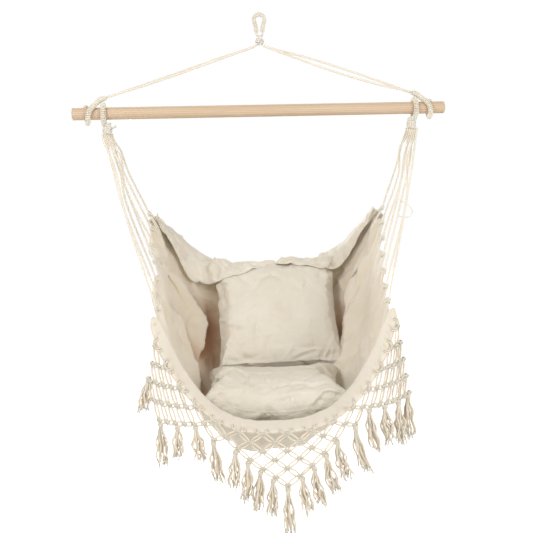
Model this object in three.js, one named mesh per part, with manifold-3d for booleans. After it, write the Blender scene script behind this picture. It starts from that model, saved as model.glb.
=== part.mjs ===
// A hanging hammock chair: a cotton sling with a net fringe, hung by cords from a wooden spreader bar
// whose own rope ends in a whipped hanging eye. Millimetres, Z up, front towards -Y.
// The origin is the inside top of the hanging eye, where a hook bears.
import * as THREE from "three";
import { mergeVertices } from "three/addons/utils/BufferGeometryUtils.js";
import Module from "manifold-3d";

const wasm = await Module();
wasm.setup();

// Clearances
const seatGap = 0.35;
const cutOverrun = 0.5;

// Fineness of the round and the sampled shapes
const mergeTolerance = 1e-4;
const cordQuarterSides = 3;
const trimSteps = 60;
const surfaceStep = 1e-3;
const outlineSteps = 8;

// Spreader bar
const barLength = 1000;
const barRadius = 16;
const barEndRound = 4;
const barDrop = 246;
const barSides = 24;

// Whipped rope: a plain core and the thin cord wound over it
const ropeCoreRadius = 2.7;
const whipCordRadius = 2;
const eyeWhipCordRadius = 1.9;
const whipSteps = 8;
const whipCordSides = 4;
const coreSteps = 26;
const seizingSides = 16;
const whipTurnGap = 1;
const whipInner = (ropeCoreRadius + seatGap) / Math.cos(Math.PI / whipSteps);
const whipOuter = whipInner + 2 * whipCordRadius;
const eyeWhipOuter = whipInner + 2 * eyeWhipCordRadius;

// Hanging eye
const eyeOpeningWidth = 14;
const eyeOpeningHeight = 33;
const eyeThroatLength = 14;
const eyeSeizingHeight = 5;
const eyeSeizingWraps = 2;
const eyeTurns = 12;

// Knot under the eye
const knotRadius = 12;
const knotGroove = 1.1;
const knotBulges = 4;
const knotSteps = 16;
const knotSides = 12;

// Suspension rope legs between the knot and the bar
const legCordRadius = 2.7;
const legCordSpread = 5.9;
const legSag = 3;
const legLeave = 3.5;
const legStraight = 14;
const legSteps = 16;
const legPartings = { left: 2, right: 8 };
const legMiddleShares = [0.3, 0.55, 0.8];

// Hitches of the suspension rope on the bar
const hitchInset = 41;
const hitchDrift = 10;
const hitchLead = 16;
const hitchReach = 51;
const hitchRise = 42;
const hitchArmStep = 17;
const hitchTurns = 9;
const hitchPointCount = 12;
const hitchFirstAngle = Math.PI / 9;
const hitchLastAngle = (11 / 6) * Math.PI;
const hitchLeadAngle = (5 / 9) * Math.PI;

// Seat loops: the whipped rope loops that carry the seat on the bar
const loopInset = 82;
const loopTurns = 13;
const neckDrop = 53;
const neckSeizingHeight = 13;
const neckSeizingWraps = 3;
const neckSeizingRadius = 8.2;
const neckSeizingWideShare = 1.45;
const neckLean = 9;

// Seat cords
const seatCordRadius = 2.3;
const seatCordPitch = 5.2;
const seatCordReach = 9;
const seatCordDrop = 7;
const seatCordLead = 22;
const seatCordBow = 7;
const seatCordBowKinds = 3;
const seatCordBowPlaceShare = 0.45;
const seatCordSteps = 8;

// Sling: the edges and the middle line of the cloth, as real places below the eye
const clothThickness = 3;
const seatShiftX = 14;
const seatShiftY = -13;
const seatSkewShare = 0.08;
const sideHalfSpans = [345, 325, 306, 296];
const sideYs = [233, 75, -100, -258];
const sideZs = [-506, -594, -682, -750];
const middleYs = [300, 246, 152, 20, -122, -236, -318];
const middleZs = [-724, -862, -1004, -1082, -1102, -1080, -1020];
const sagPowerBackShare = 2.6;
const sagPowerSeatShare = 3.4;
const sagPowerFrontShare = 2.9;
const tabCount = 7;
const tabNotch = 24;
const tabFlankShare = 1 / 3;
const tabInwardShare = 0.05;
const foldDepth = 7;
const foldReachShare = 0.24;
const slingColumns = 16;
const rowsPerTab = 3;

// Front hem band and back collar
const hemWidth = 50;
const hemEndWidth = 24;
const hemThickness = 13;
const hemSides = 10;
const hemEndPowerShare = 8;
const hemStandOff = 0.1;
const hemBluntShare = 0.6;
const hemSideForwardShare = 0.3;
const hemMiddleForwardShare = 2.6;
const collarThickness = 3;
const collarStandOff = 1.9;
const collarCornerDrop = 92;
const collarMiddleDrop = 34;
const collarRows = 3;

// Net fringe
const netHalfColumns = 14;
const netHalfPitch = 29.5;
const netRowDrop = 21.5;
const netRows = 2;
const netPoints = [
  { column: -12, rows: 6 },
  { column: 0, rows: 6 },
  { column: 14, rows: 8 },
];
const netMiddleShift = 14;
const netHang = 0.15;
const netKnotHalf = 3.4;
const netKnotHalfDepth = 3.6;
const netStrandNarrowShare = 0.6;
const netOutwardShare = 0.16;
const netPanels = [
  ["net_left_side", -14, -11],
  ["net_left", -10, -5],
  ["net_centre", -4, 4],
  ["net_right", 5, 10],
  ["net_right_side", 11, 14],
];

// Tassels
const tasselLength = 92;
const tasselHeadRadius = 5.4;
const tasselNeckRadius = 3.8;
const tasselSkirtRadius = 10.5;
const tasselRagged = 5;
const tasselCrownShare = 0.55;
const tasselWaistShare = 0.72;
const tasselWaistDepthShare = 0.35;
const tasselLobes = 4;
const tasselLobeShare = 0.2;
const tasselLengthShares = [1, 0.86, 0.93, 0.81, 0.97, 0.88, 0.9, 0.83, 0.95, 0.87];

// Cushions
const seatCushion = {
  width: 352,
  depth: 300,
  thickness: 150,
  edge: 9,
  curl: 40,
  aside: -8,
  forward: 112,
  drop: 1003,
  tilt: 0.02,
  turn: -seatSkewShare,
};
const backCushion = {
  width: 352,
  depth: 352,
  thickness: 130,
  edge: 9,
  curl: 26,
  aside: 31,
  forward: -166,
  drop: 826,
  tilt: 0.98,
  turn: 0,
};
const cushionCrownShare = 0.42;
const cushionDrawInShare = 0.06;
const cushionCells = 9;

const colours = {
  wood: 0xdcc39a,
  rope: 0xe9e4d6,
  canvas: 0xe6dfce,
  cushion: 0xe0d8c4,
};

const sides = [
  { name: "left", sign: -1 },
  { name: "right", sign: 1 },
];

function mix(a, b, t) {
  return a + (b - a) * t;
}

function smooth(t) {
  const c = Math.min(1, Math.max(0, t));
  return c * c * (3 - 2 * c);
}

// A curve through evenly spread values, read at t from 0 to 1.
function through(values, t) {
  const points = values.map((value) => new THREE.Vector3(value, 0, 0));
  return new THREE.CatmullRomCurve3(points).getPoint(t).x;
}

// Solids
function toSolid(geometry) {
  const bare = geometry.clone();
  bare.deleteAttribute("normal");
  bare.deleteAttribute("uv");
  const merged = mergeVertices(bare, mergeTolerance);
  const mesh = new wasm.Mesh({
    numProp: 3,
    vertProperties: merged.attributes.position.array,
    triVerts: new Uint32Array(merged.index.array),
  });
  return new wasm.Manifold(mesh);
}

function fromSolid(solid) {
  const mesh = solid.getMesh();
  const geometry = new THREE.BufferGeometry();
  geometry.setAttribute("position", new THREE.BufferAttribute(mesh.vertProperties, 3));
  geometry.setIndex(new THREE.BufferAttribute(mesh.triVerts, 1));
  return geometry;
}

function fromFaces(points, faces) {
  const flat = points.flatMap((point) => [point.x, point.y, point.z]);
  const geometry = new THREE.BufferGeometry();
  geometry.setAttribute("position", new THREE.Float32BufferAttribute(flat, 3));
  geometry.setIndex(faces.flat());
  return geometry;
}

// A closed solid over rings of equal size, each ring turning left-handed to the way the rings go.
function loft(rings) {
  const size = rings[0].length;
  const points = rings.flat();
  const faces = [];
  for (let ring = 0; ring + 1 < rings.length; ring++) {
    for (let side = 0; side < size; side++) {
      const next = (side + 1) % size;
      const a = ring * size + side;
      const b = ring * size + next;
      faces.push([a, b, b + size], [a, b + size, a + size]);
    }
  }
  const last = (rings.length - 1) * size;
  const startCentre = points.push(middleOf(rings[0])) - 1;
  const endCentre = points.push(middleOf(rings[rings.length - 1])) - 1;
  for (let side = 0; side < size; side++) {
    const next = (side + 1) % size;
    faces.push([startCentre, next, side], [endCentre, last + side, last + next]);
  }
  return fromFaces(points, faces);
}

function middleOf(points) {
  const sum = new THREE.Vector3();
  points.forEach((point) => sum.add(point));
  return sum.divideScalar(points.length);
}

// A sheet with two skins over a grid: front[i][j] and back[i][j], closed round its border.
function sheetSolid(front, back) {
  const columns = front.length;
  const rows = front[0].length;
  const points = [...front.flat(), ...back.flat()];
  const at = (i, j) => i * rows + j;
  const under = columns * rows;
  const faces = [];
  for (let i = 0; i + 1 < columns; i++) {
    for (let j = 0; j + 1 < rows; j++) {
      const [a, b, c, d] = [at(i, j), at(i + 1, j), at(i + 1, j + 1), at(i, j + 1)];
      faces.push([a, b, c], [a, c, d]);
      faces.push([under + a, under + c, under + b], [under + a, under + d, under + c]);
    }
  }
  const border = [];
  for (let i = 0; i + 1 < columns; i++) border.push(at(i, 0));
  for (let j = 0; j + 1 < rows; j++) border.push(at(columns - 1, j));
  for (let i = columns - 1; i > 0; i--) border.push(at(i, rows - 1));
  for (let j = rows - 1; j > 0; j--) border.push(at(0, j));
  border.forEach((p, index) => {
    const q = border[(index + 1) % border.length];
    faces.push([p, under + p, under + q], [p, under + q, q]);
  });
  return fromFaces(points, faces);
}

// A round cord swept along a smooth path.
function cordGeometry(points, radius, steps) {
  const section = new THREE.Shape();
  section.absarc(0, 0, radius, 0, 2 * Math.PI, false);
  return new THREE.ExtrudeGeometry(section, {
    steps,
    curveSegments: cordQuarterSides,
    extrudePath: new THREE.CatmullRomCurve3(points, false, "centripetal"),
  });
}

// A thin cord wound round a rope's path as one unbroken tube, its ends straight for one diameter.
function whippingGeometry(path, cordRadius, turns) {
  const steps = turns * whipSteps;
  const frames = path.computeFrenetFrames(steps, false);
  const windRadius = whipInner + cordRadius;
  const centres = [];
  const outwards = [];
  for (let step = 0; step <= steps; step++) {
    const angle = (2 * Math.PI * step) / whipSteps;
    const outward = frames.normals[step].clone().multiplyScalar(Math.cos(angle));
    outward.addScaledVector(frames.binormals[step], Math.sin(angle));
    centres.push(path.getPointAt(step / steps).addScaledVector(outward, windRadius));
    outwards.push(outward);
  }
  const first = centres[0].clone().sub(centres[1]).setLength(2 * cordRadius);
  const last = centres[steps].clone().sub(centres[steps - 1]).setLength(2 * cordRadius);
  centres.unshift(centres[0].clone().add(first));
  centres.push(centres[centres.length - 1].clone().add(last));
  outwards.unshift(outwards[0]);
  outwards.push(outwards[outwards.length - 1]);
  const rings = centres.map((centre, index) => {
    const before = centres[Math.max(0, index - 1)];
    const after = centres[Math.min(centres.length - 1, index + 1)];
    const along = after.clone().sub(before).normalize();
    const across = new THREE.Vector3().crossVectors(along, outwards[index]).normalize();
    const up = new THREE.Vector3().crossVectors(across, along);
    return circleRing(centre, up, across, cordRadius, whipCordSides);
  });
  return { geometry: loft(rings), gap: leastGap(centres) - 2 * cordRadius };
}

function circleRing(centre, first, second, radius, count) {
  return Array.from({ length: count }, (unused, side) => {
    const angle = (2 * Math.PI * side) / count;
    const point = centre.clone().addScaledVector(first, radius * Math.cos(angle));
    return point.addScaledVector(second, radius * Math.sin(angle));
  });
}

// The least distance between a wound cord's middle line and its own other turns.
function leastGap(centres) {
  const closest = new THREE.Vector3();
  const apart = whipSteps / 2;
  let least = Infinity;
  for (let i = 0; i < centres.length; i++) {
    for (let j = i + apart; j + 1 < centres.length; j++) {
      new THREE.Line3(centres[j], centres[j + 1]).closestPointToPoint(centres[i], true, closest);
      least = Math.min(least, closest.distanceTo(centres[i]));
    }
  }
  return least;
}

const materials = {
  wood: { color: colours.wood, roughness: 0.55, metalness: 0 },
  rope: { color: colours.rope, roughness: 0.9, metalness: 0 },
  canvas: { color: colours.canvas, roughness: 0.95, metalness: 0 },
  cushion: { color: colours.cushion, roughness: 0.95, metalness: 0 },
};

const chair = new THREE.Group();

function addPiece(parent, name, geometry, kind) {
  const bare = geometry.clone();
  bare.deleteAttribute("uv");
  bare.computeVertexNormals();
  const piece = new THREE.Mesh(bare, new THREE.MeshStandardMaterial(materials[kind]));
  piece.name = name;
  parent.add(piece);
  return piece;
}

// Spreader bar, turned about its own length
function barGeometry() {
  const half = barLength / 2;
  const profile = new THREE.Path();
  profile.moveTo(0, -half);
  profile.lineTo(barRadius - barEndRound, -half);
  profile.absarc(barRadius - barEndRound, barEndRound - half, barEndRound, -Math.PI / 2, 0, false);
  profile.lineTo(barRadius, half - barEndRound);
  profile.absarc(barRadius - barEndRound, half - barEndRound, barEndRound, 0, Math.PI / 2, false);
  profile.lineTo(0, half);
  const geometry = new THREE.LatheGeometry(profile.getPoints(1), barSides);
  return geometry.rotateZ(-Math.PI / 2);
}

// A rope loop like a drop: round over the top, its two legs drawn together below.
// The path lies in the XZ plane with the inside of its top at the origin.
function dropLoopPoints(openingWidth, openingHeight, ropeOuter, legLength) {
  const radius = openingWidth / 2 + ropeOuter;
  const top = ropeOuter - radius;
  const throat = ropeOuter + whipTurnGap;
  const throatZ = -openingHeight;
  const half = [];
  for (const angle of [-Math.PI / 6, 0, Math.PI / 6, Math.PI / 3, Math.PI / 2]) {
    half.push([radius * Math.cos(angle), top + radius * Math.sin(angle)]);
  }
  half.unshift([throat, throatZ]);
  half.unshift([throat, throatZ - legLength]);
  const right = half.map(([x, z]) => new THREE.Vector3(x, 0, z));
  const left = half.slice(0, -1).map(([x, z]) => new THREE.Vector3(-x, 0, z));
  return [...left, ...right.reverse()];
}

// A ball of cord with grooves between its wraps, turned about Z, never larger than its radius.
function knotGeometry() {
  const profile = [];
  for (let step = 0; step <= knotSteps; step++) {
    const angle = (Math.PI * step) / knotSteps;
    const wave = (1 - Math.cos(2 * knotBulges * angle)) / 2;
    const reach = knotRadius - knotGroove * wave;
    profile.push(new THREE.Vector2(reach * Math.sin(angle), -reach * Math.cos(angle)));
  }
  profile[0].x = 0;
  profile[knotSteps].x = 0;
  return new THREE.LatheGeometry(profile, knotSides).rotateX(Math.PI / 2);
}

// A short binding of a few round wraps, its top at zero, wider along X by a share.
function seizingGeometry(radius, height, wraps, wideShare) {
  const profile = [new THREE.Vector2(0, -height)];
  const wrap = height / wraps;
  for (let index = 0; index < wraps; index++) {
    const low = index * wrap - height;
    profile.push(new THREE.Vector2(radius - wrap / 4, low));
    profile.push(new THREE.Vector2(radius, low + wrap / 2));
  }
  profile.push(new THREE.Vector2(radius - wrap / 4, 0));
  profile.push(new THREE.Vector2(0, 0));
  const geometry = new THREE.LatheGeometry(profile, seizingSides).rotateX(Math.PI / 2);
  return geometry.scale(wideShare, 1, 1);
}

// Hanging eye, its whipping and the knot below it
const eyeThroatZ = -eyeOpeningHeight - eyeThroatLength;
const knotTopZ = eyeThroatZ + cutOverrun - eyeSeizingHeight - seatGap;
const knotCentreZ = knotTopZ - knotRadius;

function buildEye(parent) {
  const points = dropLoopPoints(eyeOpeningWidth, eyeOpeningHeight, eyeWhipOuter, eyeThroatLength);
  const core = toSolid(cordGeometry(points, ropeCoreRadius, coreSteps));
  const wide = (eyeWhipOuter + ropeCoreRadius) / eyeWhipOuter;
  const seizing = seizingGeometry(eyeWhipOuter, eyeSeizingHeight, eyeSeizingWraps, wide);
  seizing.translate(0, 0, eyeThroatZ + cutOverrun);
  addPiece(parent, "hanging_eye", fromSolid(core.add(toSolid(seizing))), "rope");
  const covered = points.map((point) => point.clone());
  const lift = 2 * eyeWhipCordRadius + cutOverrun + seatGap;
  covered[0].z += lift;
  covered[covered.length - 1].z += lift;
  const path = new THREE.CatmullRomCurve3(covered, false, "centripetal");
  const whip = whippingGeometry(path, eyeWhipCordRadius, eyeTurns);
  console.log("eye whipping, least gap " + whip.gap.toFixed(2) + " mm");
  addPiece(parent, "eye_whipping", whip.geometry, "rope");
}

function buildKnot(parent) {
  const knot = addPiece(parent, "eye_knot", knotGeometry(), "rope");
  knot.position.z = knotCentreZ;
}

// Where the suspension legs leave the knot and where they meet their hitches
const legLeaveAngle = Math.PI / 4;

function legStart(sign) {
  const reach = knotRadius + seatGap;
  const x = sign * reach * Math.cos(legLeaveAngle);
  return new THREE.Vector3(x, 0, knotCentreZ - reach * Math.sin(legLeaveAngle));
}

function hitchStart(sign) {
  const x = sign * (barLength / 2 - hitchInset - hitchReach);
  return new THREE.Vector3(x, 0, -barDrop + hitchRise);
}

function legDirection(sign) {
  return hitchStart(sign).sub(legStart(sign)).normalize();
}

function buildSuspensionCords(parent) {
  for (const { name, sign } of sides) {
    const start = legStart(sign);
    const slope = legDirection(sign);
    const end = hitchStart(sign).addScaledVector(slope, -seatGap);
    const leave = new THREE.Vector3(sign * Math.cos(legLeaveAngle), 0, -Math.sin(legLeaveAngle));
    for (const [place, side] of [["front", -1], ["rear", 1]]) {
      const shift = new THREE.Vector3(0, (side * legCordSpread) / 2, 0);
      const middle = legMiddleShares.map((share) => {
        const point = start.clone().lerp(end, share);
        const sag = legSag - side * legPartings[name];
        point.z -= sag * Math.sin(Math.PI * share);
        return point;
      });
      const route = [
        start,
        start.clone().addScaledVector(leave, legLeave),
        ...middle,
        end.clone().addScaledVector(slope, -legStraight),
        end,
      ].map((point) => point.clone().add(shift));
      const geometry = cordGeometry(route, legCordRadius, legSteps);
      addPiece(parent, "suspension_cord_" + name + "_" + place, geometry, "rope");
    }
  }
}

// Hitches: the suspension rope comes down on the bar, turns round it and is whipped all along
const wrapRadius = barRadius + whipTurnGap + whipOuter;

function hitchPoints(sign) {
  const start = hitchStart(sign);
  const slope = legDirection(sign);
  const ringX = sign * (barLength / 2 - hitchInset);
  const points = [start, start.clone().addScaledVector(slope, hitchArmStep)];
  for (let step = 0; step <= hitchPointCount; step++) {
    const share = step / hitchPointCount;
    const angle = mix(hitchFirstAngle, hitchLastAngle, share);
    const lead = hitchLead * (1 - smooth(angle / hitchLeadAngle));
    const x = ringX + sign * (hitchDrift * (share - 1 / 2) - lead);
    const y = -wrapRadius * Math.sin(angle);
    points.push(new THREE.Vector3(x, y, wrapRadius * Math.cos(angle) - barDrop));
  }
  return points;
}

function buildHitches(parent) {
  for (const { name, sign } of sides) {
    const points = hitchPoints(sign);
    addPiece(parent, "bar_hitch_" + name, cordGeometry(points, ropeCoreRadius, coreSteps), "rope");
    const path = new THREE.CatmullRomCurve3(points, false, "centripetal");
    const covered = trimmed(path, 2 * whipCordRadius + seatGap, 2 * whipCordRadius);
    const whip = whippingGeometry(covered, whipCordRadius, hitchTurns);
    console.log(name + " hitch whipping, least gap " + whip.gap.toFixed(2) + " mm");
    addPiece(parent, "hitch_whipping_" + name, whip.geometry, "rope");
  }
}

// The same path without a length at its start and one at its end.
function trimmed(path, atStart, atEnd) {
  const length = path.getLength();
  const points = [];
  for (let step = 0; step <= trimSteps; step++) {
    const share = mix(atStart / length, 1 - atEnd / length, step / trimSteps);
    points.push(path.getPointAt(share));
  }
  return new THREE.CatmullRomCurve3(points, false, "centripetal");
}

// Seat loops: drop-shaped rope loops over the bar, their legs bound together in a neck
const loopTopZ = -barDrop + barRadius + seatGap;
const loopLegZ = -barDrop - neckDrop + neckSeizingHeight;

function neckEnd(sign) {
  const x = sign * (barLength / 2 - loopInset - neckLean);
  return new THREE.Vector3(x, 0, -barDrop - neckDrop);
}

function buildSeatLoops(parent) {
  for (const { name, sign } of sides) {
    const x = sign * (barLength / 2 - loopInset);
    const opening = 2 * (barRadius + seatGap);
    const legs = neckDrop - neckSeizingHeight - barRadius;
    const flat = dropLoopPoints(opening, opening + legs / 2, whipOuter, legs / 2);
    const points = flat.map((point) => {
      const lean = neckLean * smooth((-point.z - opening) / (neckDrop - barRadius));
      return new THREE.Vector3(x - sign * lean, point.x, point.z + loopTopZ);
    });
    const core = toSolid(cordGeometry(points, ropeCoreRadius, coreSteps));
    const [height, wraps] = [neckSeizingHeight, neckSeizingWraps];
    const seizing = seizingGeometry(neckSeizingRadius, height, wraps, neckSeizingWideShare);
    seizing.rotateZ(Math.PI / 2);
    seizing.translate(x - sign * neckLean, 0, loopLegZ);
    addPiece(parent, "seat_loop_" + name, fromSolid(core.add(toSolid(seizing))), "rope");
    const path = new THREE.CatmullRomCurve3(points, false, "centripetal");
    const trim = 2 * whipCordRadius + cutOverrun;
    const covered = trimmed(path, trim, trim);
    const whip = whippingGeometry(covered, whipCordRadius, loopTurns);
    console.log(name + " seat loop whipping, least gap " + whip.gap.toFixed(2) + " mm");
    addPiece(parent, "seat_loop_whipping_" + name, whip.geometry, "rope");
  }
}

// Sling surface: u runs from the left edge to the right, v from the back rim to the front
function sidePoint(sign, v) {
  const x = sign * through(sideHalfSpans, v);
  return new THREE.Vector3(x, through(sideYs, v), through(sideZs, v));
}

function sagPower(v) {
  if (v < 0.5) return mix(sagPowerBackShare, sagPowerSeatShare, smooth(v / 0.5));
  return mix(sagPowerSeatShare, sagPowerFrontShare, smooth((v - 0.5) / 0.5));
}

function smoothSling(u, v) {
  const left = sidePoint(-1, v);
  const right = sidePoint(1, v);
  const point = left.clone().lerp(right, u);
  const depth = 1 - Math.pow(Math.abs(2 * u - 1), sagPower(v));
  point.y += (through(middleYs, v) - left.y) * depth;
  point.z += (through(middleZs, v) - left.z) * depth;
  point.x += seatShiftX + seatSkewShare * point.y;
  point.y += seatShiftY;
  return point;
}

function slingNormal(u, v) {
  const [left, right] = [Math.max(0, u - surfaceStep), Math.min(1, u + surfaceStep)];
  const [rear, fore] = [Math.max(0, v - surfaceStep), Math.min(1, v + surfaceStep)];
  const alongU = smoothSling(right, v).sub(smoothSling(left, v));
  const alongV = smoothSling(u, fore).sub(smoothSling(u, rear));
  return alongU.cross(alongV).normalize();
}

// Between its cord tabs the side edge is drawn down into notches, with a fold running in from each.
function slingPoint(u, v) {
  const point = smoothSling(u, v);
  const inTab = (v * tabCount) % 1;
  const notch = 1 - smooth(Math.min(inTab, 1 - inTab) / tabFlankShare);
  const side = Math.min(u, 1 - u);
  const fade = Math.pow(Math.max(0, 1 - side / foldReachShare), 2);
  const inner = smoothSling(mix(u, 0.5, tabInwardShare), v);
  point.add(inner.sub(point).setLength(tabNotch * notch * fade));
  return point.addScaledVector(slingNormal(u, v), foldDepth * (notch - 0.5) * fade);
}

function slingGrid() {
  const rows = tabCount * rowsPerTab;
  const front = [];
  const back = [];
  for (let i = 0; i <= slingColumns; i++) {
    const u = i / slingColumns;
    front.push([]);
    back.push([]);
    for (let j = 0; j <= rows; j++) {
      const v = j / rows;
      const point = slingPoint(u, v);
      const out = slingNormal(u, v).multiplyScalar(clothThickness / 2);
      front[i].push(point.clone().add(out));
      back[i].push(point.clone().sub(out));
    }
  }
  return sheetSolid(front, back);
}

// Seat cords: from under the neck, in two staggered rows, to the middle of each tab of the sling
function seatCordRoute(sign, index, bow) {
  const neck = neckEnd(sign);
  const order = (tabCount - 1) / 2 - index;
  const row = index % 2 ? 1 : -1;
  const start = neck.clone();
  start.y += (order * seatCordPitch) / 2;
  start.x += (sign * row * seatCordPitch) / 2;
  start.z -= seatGap;
  const v = (index + 0.5) / tabCount;
  const tab = slingPoint(sign < 0 ? 0 : 1, v);
  const along = tab.clone().sub(start).normalize();
  const end = tab.clone().addScaledVector(along, seatCordReach);
  const drop = start.clone();
  drop.z -= seatCordDrop;
  const lead = drop.clone().lerp(tab, seatCordLead / start.distanceTo(tab));
  const middle = start.clone().lerp(tab, seatCordBowPlaceShare);
  middle.z -= bow / 2;
  middle.x += sign * bow;
  const last = tab.clone().addScaledVector(along, -seatCordLead);
  return [start, drop, lead, middle, last, end];
}

function seatCordPieces() {
  const pieces = [];
  for (const { name, sign } of sides) {
    for (let index = 0; index < tabCount; index++) {
      const bow = (seatCordBow * (1 + (index % seatCordBowKinds))) / 2;
      const route = seatCordRoute(sign, index, bow);
      pieces.push({ name: "seat_cord_" + name + "_" + (index + 1), route });
    }
  }
  return pieces;
}

function buildSlingAndCords(parent) {
  let sling = toSolid(slingGrid());
  for (const { name, route } of seatCordPieces()) {
    addPiece(parent, name, cordGeometry(route, seatCordRadius, seatCordSteps), "rope");
    const end = route[route.length - 1];
    const along = end.clone().sub(route[route.length - 2]).normalize();
    const longer = [...route.slice(0, -1), end.clone().addScaledVector(along, seatGap)];
    const room = cordGeometry(longer, seatCordRadius + seatGap, seatCordSteps);
    sling = sling.subtract(toSolid(room));
  }
  addPiece(parent, "seat_sling", fromSolid(sling), "canvas");
}

// Front hem: a folded band that rolls over the sling's front edge and hangs outwards from it
function hemDirection(u) {
  const along = hemTangent(u);
  along.y = 0;
  along.normalize();
  const outward = new THREE.Vector3(along.z, 0, -along.x);
  const steep = Math.pow(Math.abs(2 * u - 1), 2);
  outward.y = -mix(hemMiddleForwardShare, hemSideForwardShare, steep);
  return outward.normalize();
}

function hemTangent(u) {
  const right = smoothSling(Math.min(1, u + surfaceStep), 1);
  return right.sub(smoothSling(Math.max(0, u - surfaceStep), 1)).normalize();
}

// The band's middle, its way outwards and its way forwards from the cloth, at u along the edge.
function hemFrame(u) {
  const width = hemDirection(u);
  const across = new THREE.Vector3().crossVectors(hemTangent(u), width).normalize();
  if (across.y > 0) across.negate();
  const edge = smoothSling(u, 1).addScaledVector(across, hemStandOff + hemThickness / 2);
  const reach = mix(hemWidth, hemEndWidth, Math.pow(Math.abs(2 * u - 1), hemEndPowerShare));
  const centre = edge.addScaledVector(width, (reach - hemThickness) / 2);
  return { centre, width, across, reach };
}

function blunt(value) {
  return Math.sign(value) * Math.pow(Math.abs(value), hemBluntShare);
}

function hemGeometry() {
  const rings = [];
  for (let i = 0; i <= slingColumns; i++) {
    const { centre, width, across, reach } = hemFrame(i / slingColumns);
    const ring = [];
    for (let side = 0; side < hemSides; side++) {
      const angle = (-2 * Math.PI * side) / hemSides;
      const point = centre.clone().addScaledVector(width, (reach / 2) * blunt(Math.cos(angle)));
      ring.push(point.addScaledVector(across, (hemThickness / 2) * blunt(Math.sin(angle))));
    }
    rings.push(ring);
  }
  return loft(rings);
}

// Back collar: a flap that folds over the rim and hangs inside, deeper towards the corners
function collarGeometry() {
  const front = [];
  const back = [];
  const rimLength = smoothSling(0.5, 0).distanceTo(smoothSling(0.5, 1 / tabCount));
  for (let i = 1; i < slingColumns; i++) {
    const u = i / slingColumns;
    const steep = Math.pow(Math.abs(2 * u - 1), 2);
    const drop = mix(collarMiddleDrop, collarCornerDrop, steep);
    front.push([]);
    back.push([]);
    for (let j = 0; j <= collarRows; j++) {
      const v = (drop / rimLength / tabCount) * (j / collarRows);
      const inward = slingNormal(u, v).multiplyScalar(-1);
      const near = clothThickness / 2 + collarStandOff;
      const point = slingPoint(u, v);
      back[i - 1].push(point.clone().addScaledVector(inward, near + collarThickness));
      front[i - 1].push(point.clone().addScaledVector(inward, near));
    }
  }
  return sheetSolid(front, back);
}

// Net fringe: a diamond net of doubled cords with a knot at each crossing.
// Columns count in half steps from the middle, rows from the hem downwards.
function netDepth(column) {
  const points = netPoints.map((point) => point.rows - Math.abs(column - point.column));
  return Math.max(netRows - (Math.abs(column) % 2), ...points);
}

function netHas(column, row) {
  const inside = Math.abs(column) <= netHalfColumns && row >= 0 && row <= netDepth(column);
  return inside && (Math.abs(column) + row) % 2 === 0;
}

function hemOuterLine() {
  const points = [];
  for (let i = 0; i <= slingColumns; i++) {
    const { centre, width, reach } = hemFrame(i / slingColumns);
    points.push({ point: centre.addScaledVector(width, reach / 2), width });
  }
  return points;
}

const hemLine = hemOuterLine();
const hemLengths = [0];
hemLine.slice(1).forEach(({ point }, index) => {
  hemLengths.push(hemLengths[index] + point.distanceTo(hemLine[index].point));
});

// A place on the hem's outer edge with its ways along and outwards, by the distance from its middle.
function onHemLine(distance) {
  const length = hemLengths[slingColumns] / 2 + distance;
  let index = 0;
  while (index + 2 < hemLengths.length && hemLengths[index + 1] < length) index++;
  const part = (length - hemLengths[index]) / (hemLengths[index + 1] - hemLengths[index]);
  const [before, after] = [hemLine[index], hemLine[index + 1]];
  const point = before.point.clone().lerp(after.point, part);
  const width = before.width.clone().lerp(after.width, part).normalize();
  const along = after.point.clone().sub(before.point).normalize();
  return { point, along, width };
}

function netCentre(column, row) {
  const { point, along } = onHemLine(netMiddleShift + column * netHalfPitch);
  const outward = new THREE.Vector3(along.z, 0, -along.x).multiplyScalar(netOutwardShare);
  const down = new THREE.Vector3(0, 0, netOutwardShare - 1).add(outward).normalize();
  return point.addScaledVector(down, row * netRowDrop);
}

// A crossing of the net, with the ways to its two lower neighbours and the way through the net.
function netPlace(column, row) {
  const toRight = netCentre(column + 1, row + 1).sub(netCentre(column - 1, row - 1)).normalize();
  const toLeft = netCentre(column - 1, row + 1).sub(netCentre(column + 1, row - 1)).normalize();
  const across = new THREE.Vector3().crossVectors(toRight, toLeft).normalize();
  const { width } = onHemLine(netMiddleShift + column * netHalfPitch);
  const flat = netKnotHalf * (Math.abs(toRight.dot(width)) + Math.abs(toLeft.dot(width)));
  const thick = netKnotHalfDepth * Math.abs(across.dot(width));
  const centre = netCentre(column, row).addScaledVector(width, netHang + flat + thick);
  return { centre, toRight, toLeft, across };
}

// The eight corners of a knot: its left, top, right and bottom points, front and back.
// Its four sides face the strands, however the net is sheared by the slope of the hem.
function knotCorners({ centre, toRight, toLeft, across }) {
  const right = toRight.clone().sub(toLeft).multiplyScalar(netKnotHalf);
  const bottom = toRight.clone().add(toLeft).multiplyScalar(netKnotHalf);
  const ways = [right.clone().negate(), bottom.clone().negate(), right, bottom];
  const depth = across.clone().multiplyScalar(netKnotHalfDepth);
  return ways.flatMap((way) => {
    const corner = centre.clone().add(way);
    return [corner.clone().sub(depth), corner.clone().add(depth)];
  });
}

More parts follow.
